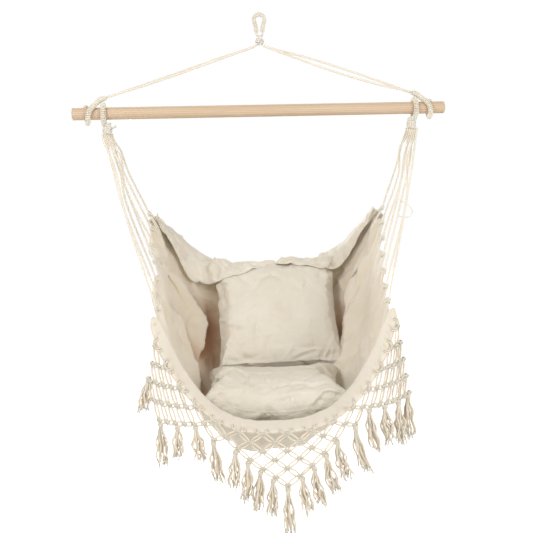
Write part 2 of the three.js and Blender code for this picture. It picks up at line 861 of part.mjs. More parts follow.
function netPanelGeometry(firstColumn, lastColumn) {
  const points = [];
  const faces = [];
  const knots = new Map();
  const key = (column, row) => column + "," + row;
  const inPanel = (column) => column >= firstColumn && column <= lastColumn;
  for (let column = firstColumn; column <= lastColumn; column++) {
    for (let row = 0; row <= netDepth(column); row++) {
      if (!netHas(column, row)) continue;
      const start = points.length;
      points.push(...knotCorners(netPlace(column, row)));
      knots.set(key(column, row), start);
      faces.push([start, start + 4, start + 2], [start, start + 6, start + 4]);
      faces.push([start + 1, start + 3, start + 5], [start + 1, start + 5, start + 7]);
    }
  }
  // A knot's side as a loop of four corners seen from outside, by its first point: 0 left to top,
  // 2 top to right, 4 right to bottom, 6 bottom to left.
  const sideLoop = (start, side) => {
    const next = (side + 2) % 8;
    return [start + side, start + next, start + next + 1, start + side + 1];
  };
  const closeLoop = (loop) => faces.push([loop[0], loop[1], loop[2]], [loop[0], loop[2], loop[3]]);
  const addLoop = (corners) => {
    const start = points.length;
    points.push(...corners);
    return [start, start + 1, start + 2, start + 3];
  };
  // Joins a loop to another that lies further out the same way round.
  const tube = (near, far) => {
    for (let side = 0; side < 4; side++) {
      const next = (side + 1) % 4;
      faces.push([near[side], near[next], far[next]], [near[side], far[next], far[side]]);
    }
  };
  const between = (a, b, share, narrow) => {
    const loop = a.map((point, index) => point.clone().lerp(b[index], share));
    const centre = middleOf(loop);
    return loop.map((point) => point.sub(centre).multiplyScalar(narrow).add(centre));
  };
  for (const [id, start] of knots) {
    const [column, row] = id.split(",").map(Number);
    for (const [side, across, along, otherSide] of [
      [0, -1, -1, 4],
      [2, 1, -1, 6],
      [4, 1, 1, 0],
      [6, -1, 1, 2],
    ]) {
      const near = sideLoop(start, side);
      if (!netHas(column + across, row + along)) {
        closeLoop(near);
        continue;
      }
      const other = knotCorners(netPlace(column + across, row + along));
      const next = (otherSide + 2) % 8;
      const far = [other[next], other[otherSide], other[otherSide + 1], other[next + 1]];
      const own = near.map((index) => points[index]);
      const length = middleOf(own).distanceTo(middleOf(far));
      if (inPanel(column + across)) {
        if (along < 0) continue;
        const farStart = knots.get(key(column + across, row + along));
        const middle = addLoop(between(own, far, 0.5, netStrandNarrowShare));
        tube(near, middle);
        tube(middle, [next, otherSide, otherSide + 1, next + 1].map((n) => farStart + n));
      } else if (along > 0) {
        const middle = addLoop(between(own, far, 0.5, netStrandNarrowShare));
        const tip = addLoop(between(own, far, 1 - (2 * seatGap) / length, 1));
        tube(near, middle);
        tube(middle, tip);
        closeLoop(tip);
      } else {
        closeLoop(near);
      }
    }
  }
  return fromFaces(points, faces);
}

function buildNet(parent) {
  for (const [name, first, last] of netPanels) {
    addPiece(parent, name, netPanelGeometry(first, last), "rope");
  }
}

// Tassels: a knotted head and a flared, lobed skirt with ragged ends
function tasselGeometry(length) {
  const headHeight = 2 * tasselHeadRadius;
  const levels = [
    [0, tasselCrownShare * tasselHeadRadius, 0],
    [headHeight / 2, tasselHeadRadius, 0],
    [headHeight, tasselNeckRadius, 0],
    [mix(headHeight, length, tasselWaistDepthShare), tasselWaistShare * tasselSkirtRadius, 1],
    [length, tasselSkirtRadius, 1],
  ];
  const count = 2 * tasselLobes;
  const rings = levels.map(([depth, radius, lobed], level) => {
    return Array.from({ length: count }, (unused, index) => {
      const angle = (-2 * Math.PI * index) / count;
      const wave = index % 2 ? -1 : 1;
      const reach = radius * (1 + lobed * tasselLobeShare * wave);
      const ragged = level === levels.length - 1 ? (tasselRagged / 2) * wave : 0;
      return new THREE.Vector3(reach * Math.cos(angle), reach * Math.sin(angle), -depth - ragged);
    });
  });
  return loft(rings);
}

// The bottom knots of the net that each carry a tassel.
function tasselColumns() {
  const columns = [];
  for (let column = -netHalfColumns; column <= netHalfColumns; column++) {
    const inPoint = netDepth(column) > netRows && Math.abs(column) < netRows + 2;
    if (column % 2 === 0 || inPoint) columns.push(column);
  }
  return columns;
}

// The lowest place of a knot's lower outline no further along the net from an axis than a radius.
function lowestNear(corners, axis, radius) {
  const level = corners[4].clone().sub(corners[0]).setZ(0).normalize();
  let lowest = Infinity;
  for (const face of [0, 1]) {
    const bottom = corners[6 + face];
    for (const outer of [corners[face], corners[4 + face]]) {
      for (let step = 0; step <= outlineSteps; step++) {
        const point = outer.clone().lerp(bottom, step / outlineSteps);
        const along = Math.abs(point.clone().sub(axis).dot(level));
        if (along < radius) lowest = Math.min(lowest, point.z);
      }
    }
  }
  return lowest;
}

// Where a tassel hangs: under the corner of the bottom knot that no strand leaves, or beside it
// where that corner points upwards.
function tasselTop(column) {
  const depth = netDepth(column);
  const place = netPlace(column, depth);
  const corners = knotCorners(place);
  const [left, right, bottom] = [0, 4, 6].map((first) => middleOf(corners.slice(first, first + 2)));
  const onRight = netHas(column - 1, depth + 1);
  const onLeft = netHas(column + 1, depth + 1);
  const lower = left.z < right.z ? left : right;
  let axis = lower.z < bottom.z ? middleOf([lower, bottom]) : bottom;
  if (onRight || onLeft) {
    axis = onRight ? right : left;
    const free = onRight ? place.toRight : place.toLeft;
    if (free.z > 0) {
      const beside = free.clone().setZ(0).setLength(tasselHeadRadius + seatGap);
      return axis.add(beside).add(new THREE.Vector3(0, 0, tasselHeadRadius));
    }
  }
  const crown = tasselCrownShare * tasselHeadRadius + seatGap;
  return axis.setZ(lowestNear(corners, axis, crown) - seatGap);
}

function buildTassels(parent) {
  tasselColumns().forEach((column, index) => {
    const share = tasselLengthShares[Math.abs(column) % tasselLengthShares.length];
    const geometry = tasselGeometry(tasselLength * share);
    const tassel = addPiece(parent, "tassel_" + (index + 1), geometry, "rope");
    tassel.position.copy(tasselTop(column));
    tassel.rotation.z = index;
  });
}

// Cushions: crowned, with drawn-in sides, their left and right edges lifted where the sling curves up
function cushionGeometry({ width, depth, thickness, edge, curl }) {
  const top = [];
  const bottom = [];
  for (let i = 0; i <= cushionCells; i++) {
    top.push([]);
    bottom.push([]);
    for (let j = 0; j <= cushionCells; j++) {
      const a = Math.sin((Math.PI / 2) * ((2 * i) / cushionCells - 1));
      const b = Math.sin((Math.PI / 2) * ((2 * j) / cushionCells - 1));
      const x = (width / 2) * a * (1 - cushionDrawInShare * (1 - b * b));
      const y = (depth / 2) * b * (1 - cushionDrawInShare * (1 - a * a));
      const crown = Math.pow(Math.max(0, (1 - a * a) * (1 - b * b)), cushionCrownShare);
      const z = edge / 2 + ((thickness - edge) / 2) * crown;
      const lift = curl * a * a;
      top[i].push(new THREE.Vector3(x, y, lift + z));
      bottom[i].push(new THREE.Vector3(x, y, lift - z));
    }
  }
  return sheetSolid(top, bottom);
}

function buildCushion(parent, name, cushion) {
  const piece = addPiece(parent, name, cushionGeometry(cushion), "cushion");
  piece.position.set(seatShiftX + cushion.aside, seatShiftY - cushion.forward, -cushion.drop);
  piece.rotation.set(cushion.tilt, 0, cushion.turn);
}

buildEye(chair);
buildKnot(chair);
buildSuspensionCords(chair);
buildHitches(chair);
addPiece(chair, "spreader_bar", barGeometry(), "wood").position.z = -barDrop;
buildSeatLoops(chair);
buildSlingAndCords(chair);
addPiece(chair, "front_hem", hemGeometry(), "canvas");
addPiece(chair, "back_collar", collarGeometry(), "canvas");
buildNet(chair);
buildTassels(chair);
buildCushion(chair, "seat_cushion", seatCushion);
buildCushion(chair, "back_cushion", backCushion);

export default chair;
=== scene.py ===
"""A hanging hammock chair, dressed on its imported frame.

Metres, Z up, front towards -Y. The origin is the inside top of the hanging eye, where a hook bears.
"""

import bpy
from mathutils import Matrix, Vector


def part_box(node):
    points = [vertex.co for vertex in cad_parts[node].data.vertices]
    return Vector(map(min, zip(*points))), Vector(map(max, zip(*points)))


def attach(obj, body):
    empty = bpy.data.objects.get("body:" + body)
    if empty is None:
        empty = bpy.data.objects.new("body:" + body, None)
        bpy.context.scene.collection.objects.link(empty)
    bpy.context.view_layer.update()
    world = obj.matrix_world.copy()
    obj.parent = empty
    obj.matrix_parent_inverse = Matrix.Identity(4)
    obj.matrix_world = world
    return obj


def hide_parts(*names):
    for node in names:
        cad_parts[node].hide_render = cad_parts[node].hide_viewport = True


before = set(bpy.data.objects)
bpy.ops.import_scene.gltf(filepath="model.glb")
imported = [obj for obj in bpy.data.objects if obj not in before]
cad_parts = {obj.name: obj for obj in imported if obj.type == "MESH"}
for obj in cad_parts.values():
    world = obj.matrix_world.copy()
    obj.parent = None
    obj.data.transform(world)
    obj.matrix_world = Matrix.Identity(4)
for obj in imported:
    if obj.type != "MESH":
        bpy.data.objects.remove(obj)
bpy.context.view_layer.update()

import logging
import math
from dataclasses import dataclass, field
from enum import Enum
from typing import Callable, Iterable, Sequence

import bmesh
import bpy
import numpy as np
from mathutils import Matrix, Vector
from mathutils.bvhtree import BVHTree

Array = np.ndarray
Thing = bpy.types.Object
log = logging.getLogger("hammock_chair")

SIDES: tuple[tuple[str, float], ...] = (("left", -1.0), ("right", 1.0))
UP = np.array([0.0, 0.0, 1.0])
SAME_PLACE = 1e-6
READS_PER_POINT = 24


# Numbers and curves


def unit(values: Array) -> Array:
    """Scales each vector to length one."""
    lengths = np.linalg.norm(values, axis=-1, keepdims=True)
    return values / np.maximum(lengths, 1e-12)


def ease(share: Array | float) -> Array:
    """A smooth step from 0 to 1."""
    held = np.clip(share, 0.0, 1.0)
    return held * held * (3.0 - 2.0 * held)


def mix(low: Array | float, high: Array | float, share: Array | float) -> Array | float:
    """A value between low and high."""
    return low + (high - low) * share


def through(values: Sequence | Array, shares: Array | float) -> Array:
    """A centripetal curve through evenly spread values or points.

    Args:
        values: numbers, or points in rows.
        shares: where the curve is read, from 0 to 1.

    Returns:
        One value or point for each share.
    """
    knots = np.asarray(values, float)
    flat = knots.ndim == 1
    if flat:
        knots = knots[:, None]
    place = np.clip(np.asarray(shares, float), 0.0, 1.0) * (len(knots) - 1)
    index = np.minimum(place.astype(int), len(knots) - 2)
    part = (place - index)[..., None]
    longer = np.vstack([2 * knots[0] - knots[1], knots, 2 * knots[-1] - knots[-2]])
    before, start, end, after = (longer[index + step] for step in range(4))
    gaps = [np.sqrt(np.linalg.norm(b - a, axis=-1, keepdims=True)) for a, b in
            ((before, start), (start, end), (end, after))]
    middle = np.where(gaps[1] < SAME_PLACE, 1.0, gaps[1])
    first = np.where(gaps[0] < SAME_PLACE, middle, gaps[0])
    last = np.where(gaps[2] < SAME_PLACE, middle, gaps[2])
    leave = (start - before) / first - (end - before) / (first + middle) + (end - start) / middle
    reach = (end - start) / middle - (after - start) / (middle + last) + (after - end) / last
    leave, reach = leave * middle, reach * middle
    bend = 3 * (end - start) - 2 * leave - reach
    turn = 2 * (start - end) + leave + reach
    made = start + part * (leave + part * (bend + part * turn))
    return made[..., 0] if flat else made


def evenly(points: Array, count: int) -> Array:
    """A path read again at evenly spread places along its own length.

    Args:
        points: the path.
        count: how many points it gets.

    Returns:
        The new points.
    """
    lengths = np.concatenate([[0.0], np.cumsum(np.linalg.norm(np.diff(points, axis=0), axis=1))])
    wanted = np.linspace(0.0, lengths[-1], count)
    return np.stack([np.interp(wanted, lengths, points[:, axis]) for axis in range(3)], axis=1)


def curved(points: Sequence | Array, count: int) -> Array:
    """A smooth path through points, read at evenly spread places."""
    shares = np.linspace(0.0, 1.0, READS_PER_POINT * len(points))
    return evenly(through(points, shares), count)


def length_of(points: Array) -> float:
    """The length of a path."""
    return float(np.linalg.norm(np.diff(points, axis=0), axis=1).sum())


def runs(grid: Array) -> tuple[Array, Array]:
    """How far each point of a sheet lies from its first column, and from its first row.

    Args:
        grid: the sheet's points in columns and rows.

    Returns:
        Both distances at each point.
    """
    across = np.diff(grid, axis=0, prepend=grid[:1])
    along = np.diff(grid, axis=1, prepend=grid[:, :1])
    return (np.cumsum(np.linalg.norm(across, axis=2), axis=0),
            np.cumsum(np.linalg.norm(along, axis=2), axis=1))


def carried_frames(path: Array) -> tuple[Array, Array, Array]:
    """Frames that run along a path without turning about it.

    Args:
        path: the points of the path.

    Returns:
        The ways along, aside and up at each point.
    """
    along = unit(np.gradient(path, axis=0))
    aside = np.zeros_like(along)
    start = UP if abs(along[0][2]) < 0.9 else np.array([0.0, 1.0, 0.0])
    aside[0] = unit(np.cross(along[0], start))
    for index in range(1, len(path)):
        carried = aside[index - 1] - along[index] * aside[index - 1].dot(along[index])
        aside[index] = unit(carried)
    return along, aside, np.cross(along, aside)


# Meshes


def linked(name: str, data: bpy.types.ID) -> Thing:
    """Puts a new object with its data in the scene.

    Args:
        name: its name.
        data: its mesh, curve, camera or lamp.

    Returns:
        The object.
    """
    made = bpy.data.objects.new(name, data)
    bpy.context.scene.collection.objects.link(made)
    return made


@dataclass
class Skin:
    """A growing mesh: points, faces and a place in the texture for each face corner."""

    points: list[Array] = field(default_factory=list)
    faces: list[list[int]] = field(default_factory=list)
    corners: list[tuple[float, float]] = field(default_factory=list)
    count: int = 0

    def add(self, points: Array, faces: Iterable[Sequence[int]], corners: Iterable) -> None:
        """Adds a patch of points with its faces and texture corners.

        Args:
            points: the patch's points.
            faces: its faces, by the patch's own numbers.
            corners: a place in the texture for each face corner.
        """
        self.points.append(points)
        self.faces.extend([index + self.count for index in face] for face in faces)
        self.corners.extend(corners)
        self.count += len(points)

    def tube(self, path: Array, radii: Array | float, sides: int) -> None:
        """Adds a round cord along a path.

        Args:
            path: the points of its middle line.
            radii: one radius, or one at each point.
            sides: how many sides the round has.
        """
        _, aside, up = carried_frames(path)
        angles = np.linspace(0.0, 2 * np.pi, sides, endpoint=False)
        reach = np.broadcast_to(np.asarray(radii, float), (len(path),))[:, None, None]
        ring = np.cos(angles)[None, :, None] * aside[:, None, :]
        ring = ring + np.sin(angles)[None, :, None] * up[:, None, :]
        run = np.concatenate([[0.0], np.cumsum(np.linalg.norm(np.diff(path, axis=0), axis=1))])
        self.rings(path[:, None, :] + reach * ring, path[[0, -1]], run)

    def rings(self, rings: Array, ends: Array, run: Array) -> None:
        """Adds rings of points, joined into a skin that is closed at both ends.

        Args:
            rings: the rings in order, each a row of points.
            ends: the middles of the first ring and the last.
            run: how far along the texture each ring lies.
        """
        steps, sides = rings.shape[:2]
        faces, corners = [], []
        for step in range(steps - 1):
            for side in range(sides):
                after = (side + 1) % sides
                low, high = step * sides, (step + 1) * sides
                faces.append([low + side, low + after, high + after, high + side])
                left, right = side / sides, (side + 1) / sides
                corners += [(left, run[step]), (right, run[step]),
                            (right, run[step + 1]), (left, run[step + 1])]
        start, end, last = steps * sides, steps * sides + 1, (steps - 1) * sides
        for side in range(sides):
            after = (side + 1) % sides
            faces += [[start, after, side], [end, last + side, last + after]]
            corners += [(side / sides, 0.0)] * 3 + [(side / sides, run[-1])] * 3
        self.add(np.vstack([rings.reshape(-1, 3), ends]), faces, corners)

    def grid(self, grid: Array, texture: Array) -> None:
        """Adds a sheet of points in rows and columns, with a texture place at each.

        Args:
            grid: the points in columns and rows.
            texture: their places in the texture.
        """
        columns, rows = grid.shape[:2]
        faces, corners = [], []
        for i in range(columns - 1):
            for j in range(rows - 1):
                ring = ((i, j), (i + 1, j), (i + 1, j + 1), (i, j + 1))
                faces.append([a * rows + b for a, b in ring])
                corners += [tuple(texture[a, b]) for a, b in ring]
        self.add(grid.reshape(-1, 3), faces, corners)

    def piece(self, name: str, material: bpy.types.Material) -> Thing:
        """Makes the mesh a smooth object in the scene.

        Args:
            name: the piece's name.
            material: its material.

        Returns:
            The object.
        """
        mesh = bpy.data.meshes.new(name)
        mesh.from_pydata(np.vstack(self.points), [], self.faces)
        layer = mesh.uv_layers.new(name="UVMap")
        layer.data.foreach_set("uv", np.asarray(self.corners, float).ravel())
        mesh.shade_smooth()
        mesh.materials.append(material)
        return linked(name, mesh)


def solid_skin(thing: Thing, thickness: float) -> None:
    """Gives a sheet its thickness, half to each side, and applies it.

    Args:
        thing: the object.
        thickness: how thick it gets.
    """
    wall = thing.modifiers.new("wall", "SOLIDIFY")
    wall.thickness = thickness
    wall.offset = 0.0
    bake(thing)


def bake(thing: Thing) -> None:
    """Turns an object with its modifiers into a plain mesh.

    Args:
        thing: the object.
    """
    graph = bpy.context.evaluated_depsgraph_get()
    made = bpy.data.meshes.new_from_object(thing.evaluated_get(graph))
    thing.modifiers.clear()
    old = thing.data
    thing.data = made
    if isinstance(old, bpy.types.Mesh):
        bpy.data.meshes.remove(old)


def join_meshes(thing: Thing, others: Sequence[Thing]) -> None:
    """Joins other objects into a first one.

    Args:
        thing: the object.
        others: the objects that are joined into it.
    """
    with bpy.context.temp_override(active_object=thing, object=thing,
                                   selected_editable_objects=[thing, *others]):
        bpy.ops.object.join()


def vertex_rows(thing: Thing, key: str) -> Array:
    """A vector for each point of a mesh object, by the name of the property that holds it.

    Args:
        thing: the object.
        key: the property's name.

    Returns:
        The vectors in rows.
    """
    found = np.empty(len(thing.data.vertices) * 3)
    thing.data.vertices.foreach_get(key, found)
    return found.reshape(-1, 3)


def points_of(thing: Thing) -> Array:
    """The points of a mesh object."""
    return vertex_rows(thing, "co")


def normals_of(thing: Thing) -> Array:
    """The normals at the points of a mesh object."""
    return vertex_rows(thing, "normal")


def place_points(thing: Thing, points: Array) -> None:
    """Moves the points of a mesh object."""
    thing.data.vertices.foreach_set("co", points.ravel())
    thing.data.update()


def tree_of(thing: Thing) -> BVHTree:
    """A search tree over a mesh object."""
    return BVHTree.FromObject(thing, bpy.context.evaluated_depsgraph_get())


# Node trees


class Nodes:
    """Builds the nodes of one tree with short calls."""

    def __init__(self, tree: bpy.types.NodeTree) -> None:
        """Keeps the tree."""
        self.tree = tree

    def add(self, kind: str, inputs: dict | None = None, **settings: object) -> bpy.types.Node:
        """Adds a node.

        Args:
            kind: the node's type name.
            inputs: values or sockets by input name or number.
            settings: the node's own properties.

        Returns:
            The node.
        """
        made = self.tree.nodes.new(kind)
        for name, value in settings.items():
            setattr(made, name, value)
        for key, value in (inputs or {}).items():
            socket = made.inputs[key]
            if isinstance(value, bpy.types.NodeSocket):
                self.tree.links.new(value, socket)
            else:
                socket.default_value = value
        return made

    def math(self, operation: str, *values: object) -> bpy.types.NodeSocket:
        """A sum on numbers."""
        made = self.add("ShaderNodeMath", dict(enumerate(values)), operation=operation)
        return made.outputs[0]

    def vector(self, operation: str, *values: object) -> bpy.types.NodeSocket:
        """A sum on vectors.

        Args:
            operation: what is done.
            values: the vectors or sockets it is done to.

        Returns:
            The result's socket.
        """
        inputs = dict(enumerate(values))
        if operation == "SCALE":
            inputs = {0: values[0], "Scale": values[1]}
        made = self.add("ShaderNodeVectorMath", inputs, operation=operation)
        return made.outputs[0]

    def ramp(self, factor: bpy.types.NodeSocket, stops: Sequence[tuple[float, float]]) -> object:
        """A curve from number to number, as grey stops.

        Args:
            factor: the number that goes in.
            stops: the places and greys of the stops.

        Returns:
            The result's socket.
        """
        made = self.add("ShaderNodeValToRGB", {0: factor})
        found = made.color_ramp.elements
        while len(found) < len(stops):
            found.new(0.5)
        for element, (place, grey) in zip(found, stops):
            element.position = place
            element.color = (grey, grey, grey, 1.0)
        return made.outputs[0]

    def blend(self, factor: object, first: object, second: object, how: str = "MIX") -> object:
        """Mixes two colours.

        Args:
            factor: how much of the second.
            first: the first colour.
            second: the second colour.
            how: the way of mixing.

        Returns:
            The result's socket.
        """
        made = self.add("ShaderNodeMix", {0: factor, 6: first, 7: second},
                        data_type="RGBA", blend_type=how)
        return made.outputs[2]


def settle(node: bpy.types.Node, values: dict) -> None:
    """Sets the plain values of a node's inputs, by name or number."""
    for key, value in values.items():
        node.inputs[key].default_value = value


def group_tree(name: str, kind: str,
               sockets: Sequence[tuple]) -> tuple[bpy.types.NodeTree, Nodes, bpy.types.Node]:
    """Starts a node group with named inputs and outputs.

    Args:
        name: the group's name.
        kind: its tree type.
        sockets: (name, "INPUT" or "OUTPUT", socket type, default value or None).

    Returns:
        The new tree, its nodes and the node with what it is given.
    """
    tree = bpy.data.node_groups.new(name, kind)
    for label, way, socket_type, value in sockets:
        made = tree.interface.new_socket(label, in_out=way, socket_type=socket_type)
        if value is not None:
            made.default_value = value
    nodes = Nodes(tree)
    return tree, nodes, nodes.add("NodeGroupInput")


NUMBER = "NodeSocketFloat"
COUNT = "NodeSocketInt"
COLOUR = "NodeSocketColor"
WAY = "NodeSocketVector"
SHAPE = "NodeSocketGeometry"
STUFF = "NodeSocketMaterial"


class ShaderGroups:
    """The shader effects that several finishes share, each built once."""

    def __init__(self) -> None:
        """Builds the groups."""
        self.cotton = self._cotton()
        self.lay = self._lay()
        self.weave = self._weave()

    @staticmethod
    def _cotton() -> bpy.types.NodeTree:
        """Natural cotton: uneven tone, seed flecks and a fuzzy height.

        Returns:
            The node group.
        """
        tree, nodes, given = group_tree("natural_cotton", "ShaderNodeTree", [
            ("Colour", "INPUT", COLOUR, (0.8, 0.75, 0.66, 1.0)),
            ("Stain", "INPUT", COLOUR, (0.7, 0.62, 0.5, 1.0)),
            ("Unevenness", "INPUT", NUMBER, 0.25),
            ("Flecks", "INPUT", NUMBER, 0.4),
            ("Colour", "OUTPUT", COLOUR, None), ("Fuzz", "OUTPUT", NUMBER, None)])
        place = nodes.add("ShaderNodeTexCoord").outputs["Object"]
        broad = nodes.add("ShaderNodeTexNoise", {"Vector": place, "Scale": 9.0, "Detail": 4.0})
        cloud = nodes.ramp(broad.outputs["Fac"], [(0.35, 0.0), (0.7, 1.0)])
        share = nodes.math("MULTIPLY", cloud, given.outputs["Unevenness"])
        tone = nodes.blend(share, given.outputs["Colour"], given.outputs["Stain"])
        spots = nodes.add("ShaderNodeTexVoronoi", {"Vector": place, "Scale": 62.0})
        near = nodes.ramp(spots.outputs["Distance"], [(0.0, 1.0), (0.055, 0.0)])
        rare = nodes.add("ShaderNodeSeparateColor", {0: spots.outputs["Color"]}).outputs[0]
        chosen = nodes.math("GREATER_THAN", rare, 0.9)
        fleck = nodes.math("MULTIPLY", nodes.math("MULTIPLY", near, chosen),
                           given.outputs["Flecks"])
        tone = nodes.blend(fleck, tone, (0.3, 0.2, 0.1, 1.0))
        fuzz = nodes.add("ShaderNodeTexNoise", {"Vector": place, "Scale": 1400.0, "Detail": 3.0})
        nodes.add("NodeGroupOutput", {0: tone, 1: fuzz.outputs["Fac"]})
        return tree

    @staticmethod
    def _lay() -> bpy.types.NodeTree:
        """The lay of a laid cord from its texture: round it in U, along it in V metres.

        Returns:
            The node group.
        """
        tree, nodes, given = group_tree("laid_cord", "ShaderNodeTree", [
            ("Plies", "INPUT", NUMBER, 3.0), ("Turn length", "INPUT", NUMBER, 0.014),
            ("Height", "OUTPUT", NUMBER, None), ("Painted groove shade", "OUTPUT", NUMBER, None)])
        texture = nodes.add("ShaderNodeTexCoord").outputs["UV"]
        apart = nodes.add("ShaderNodeSeparateXYZ", {0: texture})
        around = nodes.math("MULTIPLY", apart.outputs[0], given.outputs["Plies"])
        turn = nodes.math("DIVIDE", apart.outputs[1], given.outputs["Turn length"])
        phase = nodes.math("FRACT", nodes.math("ADD", around, turn))
        height = nodes.math("SINE", nodes.math("MULTIPLY", phase, math.pi))
        against = nodes.math("MULTIPLY", nodes.math("SUBTRACT", turn, around), 3.0)
        fine = nodes.math("MULTIPLY", nodes.math("FRACT", against), math.pi)
        fine = nodes.math("MULTIPLY", nodes.math("SINE", fine), 0.18)
        # Painted shade mask: one in the grooves between plies, none on their crowns.
        groove = nodes.ramp(height, [(0.0, 1.0), (0.55, 0.0)])
        nodes.add("NodeGroupOutput", {0: nodes.math("ADD", height, fine), 1: groove})
        return tree

    @staticmethod
    def _weave() -> bpy.types.NodeTree:
        """A plain weave in three crossing ways of the object's own space, so it needs no map.

        Returns:
            The node group.
        """
        tree, nodes, given = group_tree("plain_weave", "ShaderNodeTree", [
            ("Threads per metre", "INPUT", NUMBER, 900.0), ("Height", "OUTPUT", NUMBER, None)])
        place = nodes.add("ShaderNodeTexCoord").outputs["Object"]
        wobble = nodes.add("ShaderNodeTexNoise", {"Vector": place, "Scale": 40.0, "Detail": 2.0})
        shift = nodes.vector("SCALE", wobble.outputs["Color"], 0.002)
        apart = nodes.add("ShaderNodeSeparateXYZ", {0: nodes.vector("ADD", place, shift)})
        turns = nodes.math("MULTIPLY", given.outputs[0], 2 * math.pi)
        waves = [nodes.math("SINE", nodes.math("MULTIPLY", apart.outputs[axis], turns))
                 for axis in range(3)]
        height = nodes.math("ADD", nodes.math("ADD", waves[0], waves[1]), waves[2])
        nodes.add("NodeGroupOutput", {0: height})
        return tree


def fresh_material(name: str) -> tuple[bpy.types.Material, Nodes, bpy.types.Node]:
    """Starts a material.

    Args:
        name: its name.

    Returns:
        The material, its nodes and its main shader.
    """
    made = bpy.data.materials.new(name)
    made.use_nodes = True
    return made, Nodes(made.node_tree), made.node_tree.nodes["Principled BSDF"]


@dataclass(frozen=True)
class ClothFinish:
    """Unbleached cotton cloth, plain woven, matt and a little see-through to strong light."""

    name: str
    colour: tuple[float, float, float, float]
    stain: tuple[float, float, float, float]
    threads: float = 900.0
    unevenness: float = 0.35
    glow: float = 0.0
    crease: float = 0.55
    # A dark warm brown painted as shade on the cloth behind the stepped panels, or none.
    painted_warm_shade: tuple[float, float, float, float] | None = None

    def material(self, groups: ShaderGroups) -> bpy.types.Material:
        """Builds the material.

        Args:
            groups: the shader effects that finishes share.

        Returns:
            The material.
        """
        made, nodes, shader = fresh_material(self.name)
        cotton = nodes.add("ShaderNodeGroup", node_tree=groups.cotton)
        settle(cotton, {"Colour": self.colour, "Stain": self.stain,
                        "Unevenness": self.unevenness})
        weave = nodes.add("ShaderNodeGroup", node_tree=groups.weave)
        weave.inputs[0].default_value = self.threads
        place = nodes.add("ShaderNodeTexCoord").outputs["Object"]
        crumple = nodes.add("ShaderNodeTexNoise", {
            "Vector": place, "Scale": 26.0, "Detail": 5.0, "Roughness": 0.6, "Distortion": 0.6})
        ridge = nodes.math("ABSOLUTE", nodes.math("SUBTRACT", crumple.outputs["Fac"], 0.5))
        thread = nodes.add("ShaderNodeBump", {
            "Height": weave.outputs[0], "Strength": 0.25, "Distance": 0.0001})
        fuzz = nodes.add("ShaderNodeBump", {
            "Height": cotton.outputs["Fuzz"], "Strength": 0.2, "Distance": 0.0001,
            "Normal": thread.outputs[0]})
        soft = nodes.add("ShaderNodeBump", {
            "Height": ridge, "Strength": self.crease, "Distance": 0.006,
            "Normal": fuzz.outputs[0]})
        tone = cotton.outputs["Colour"]
        # Painted warm shade: the colour darkens toward a warm brown where the mesh's attribute
        # marks the cloth behind a stepped panel.
        if self.painted_warm_shade is not None:
            painted_warm_shade = nodes.add("ShaderNodeAttribute", attribute_name="painted_warm_shade").outputs["Fac"]
            tone = nodes.blend(painted_warm_shade, tone, self.painted_warm_shade)
        nodes.tree.links.new(tone, shader.inputs["Base Color"])
        nodes.tree.links.new(soft.outputs[0], shader.inputs["Normal"])
        settle(shader, {
            "Roughness": 0.92, "Specular IOR Level": 0.2, "Sheen Weight": 0.12,
            "Sheen Roughness": 0.6, "Subsurface Weight": self.glow,
            "Subsurface Radius": (1.0, 0.88, 0.75), "Subsurface Scale": 0.004})
        return made


@dataclass(frozen=True)
class CordFinish:
    """Natural cotton cord laid from soft plies."""

    name: str
    colour: tuple[float, float, float, float]
    # The stain colour, and also the colour of the painted shade in the grooves between plies.
    groove: tuple[float, float, float, float]
    plies: float = 3.0
    turn_length: float = 0.014
    depth: float = 0.00016
    mapped: bool = True

    def material(self, groups: ShaderGroups) -> bpy.types.Material:
        """Builds the material, with its lay and a faint painted shade in its grooves where the
        piece has a map along the cord.

        Args:
            groups: the shader effects that finishes share.

        Returns:
            The material.
        """
        made, nodes, shader = fresh_material(self.name)
        cotton = nodes.add("ShaderNodeGroup", node_tree=groups.cotton)
        settle(cotton, {"Colour": self.colour, "Stain": self.groove, "Unevenness": 0.3,
                        "Flecks": 0.1})
        tone = cotton.outputs["Colour"]
        bump = nodes.add("ShaderNodeBump", {
            "Height": cotton.outputs["Fuzz"], "Strength": 0.2, "Distance": 0.0001})
        if self.mapped:
            lay = nodes.add("ShaderNodeGroup", node_tree=groups.lay)
            settle(lay, {"Plies": self.plies, "Turn length": self.turn_length})
            # Painted shade: a slight darkening toward the groove colour in the grooves between
            # plies.
            dark = nodes.math("MULTIPLY", lay.outputs["Painted groove shade"], 0.05)
            tone = nodes.blend(dark, tone, self.groove)
            bump = nodes.add("ShaderNodeBump", {
                "Height": lay.outputs["Height"], "Strength": 0.35, "Distance": self.depth,
                "Normal": bump.outputs[0]})
        nodes.tree.links.new(tone, shader.inputs["Base Color"])
        nodes.tree.links.new(bump.outputs[0], shader.inputs["Normal"])
        settle(shader, {
            "Roughness": 0.88, "Specular IOR Level": 0.25, "Sheen Weight": 0.15,
            "Sheen Roughness": 0.5, "Subsurface Weight": 0.6,
            "Subsurface Radius": (1.0, 0.85, 0.7), "Subsurface Scale": 0.003})
        return made


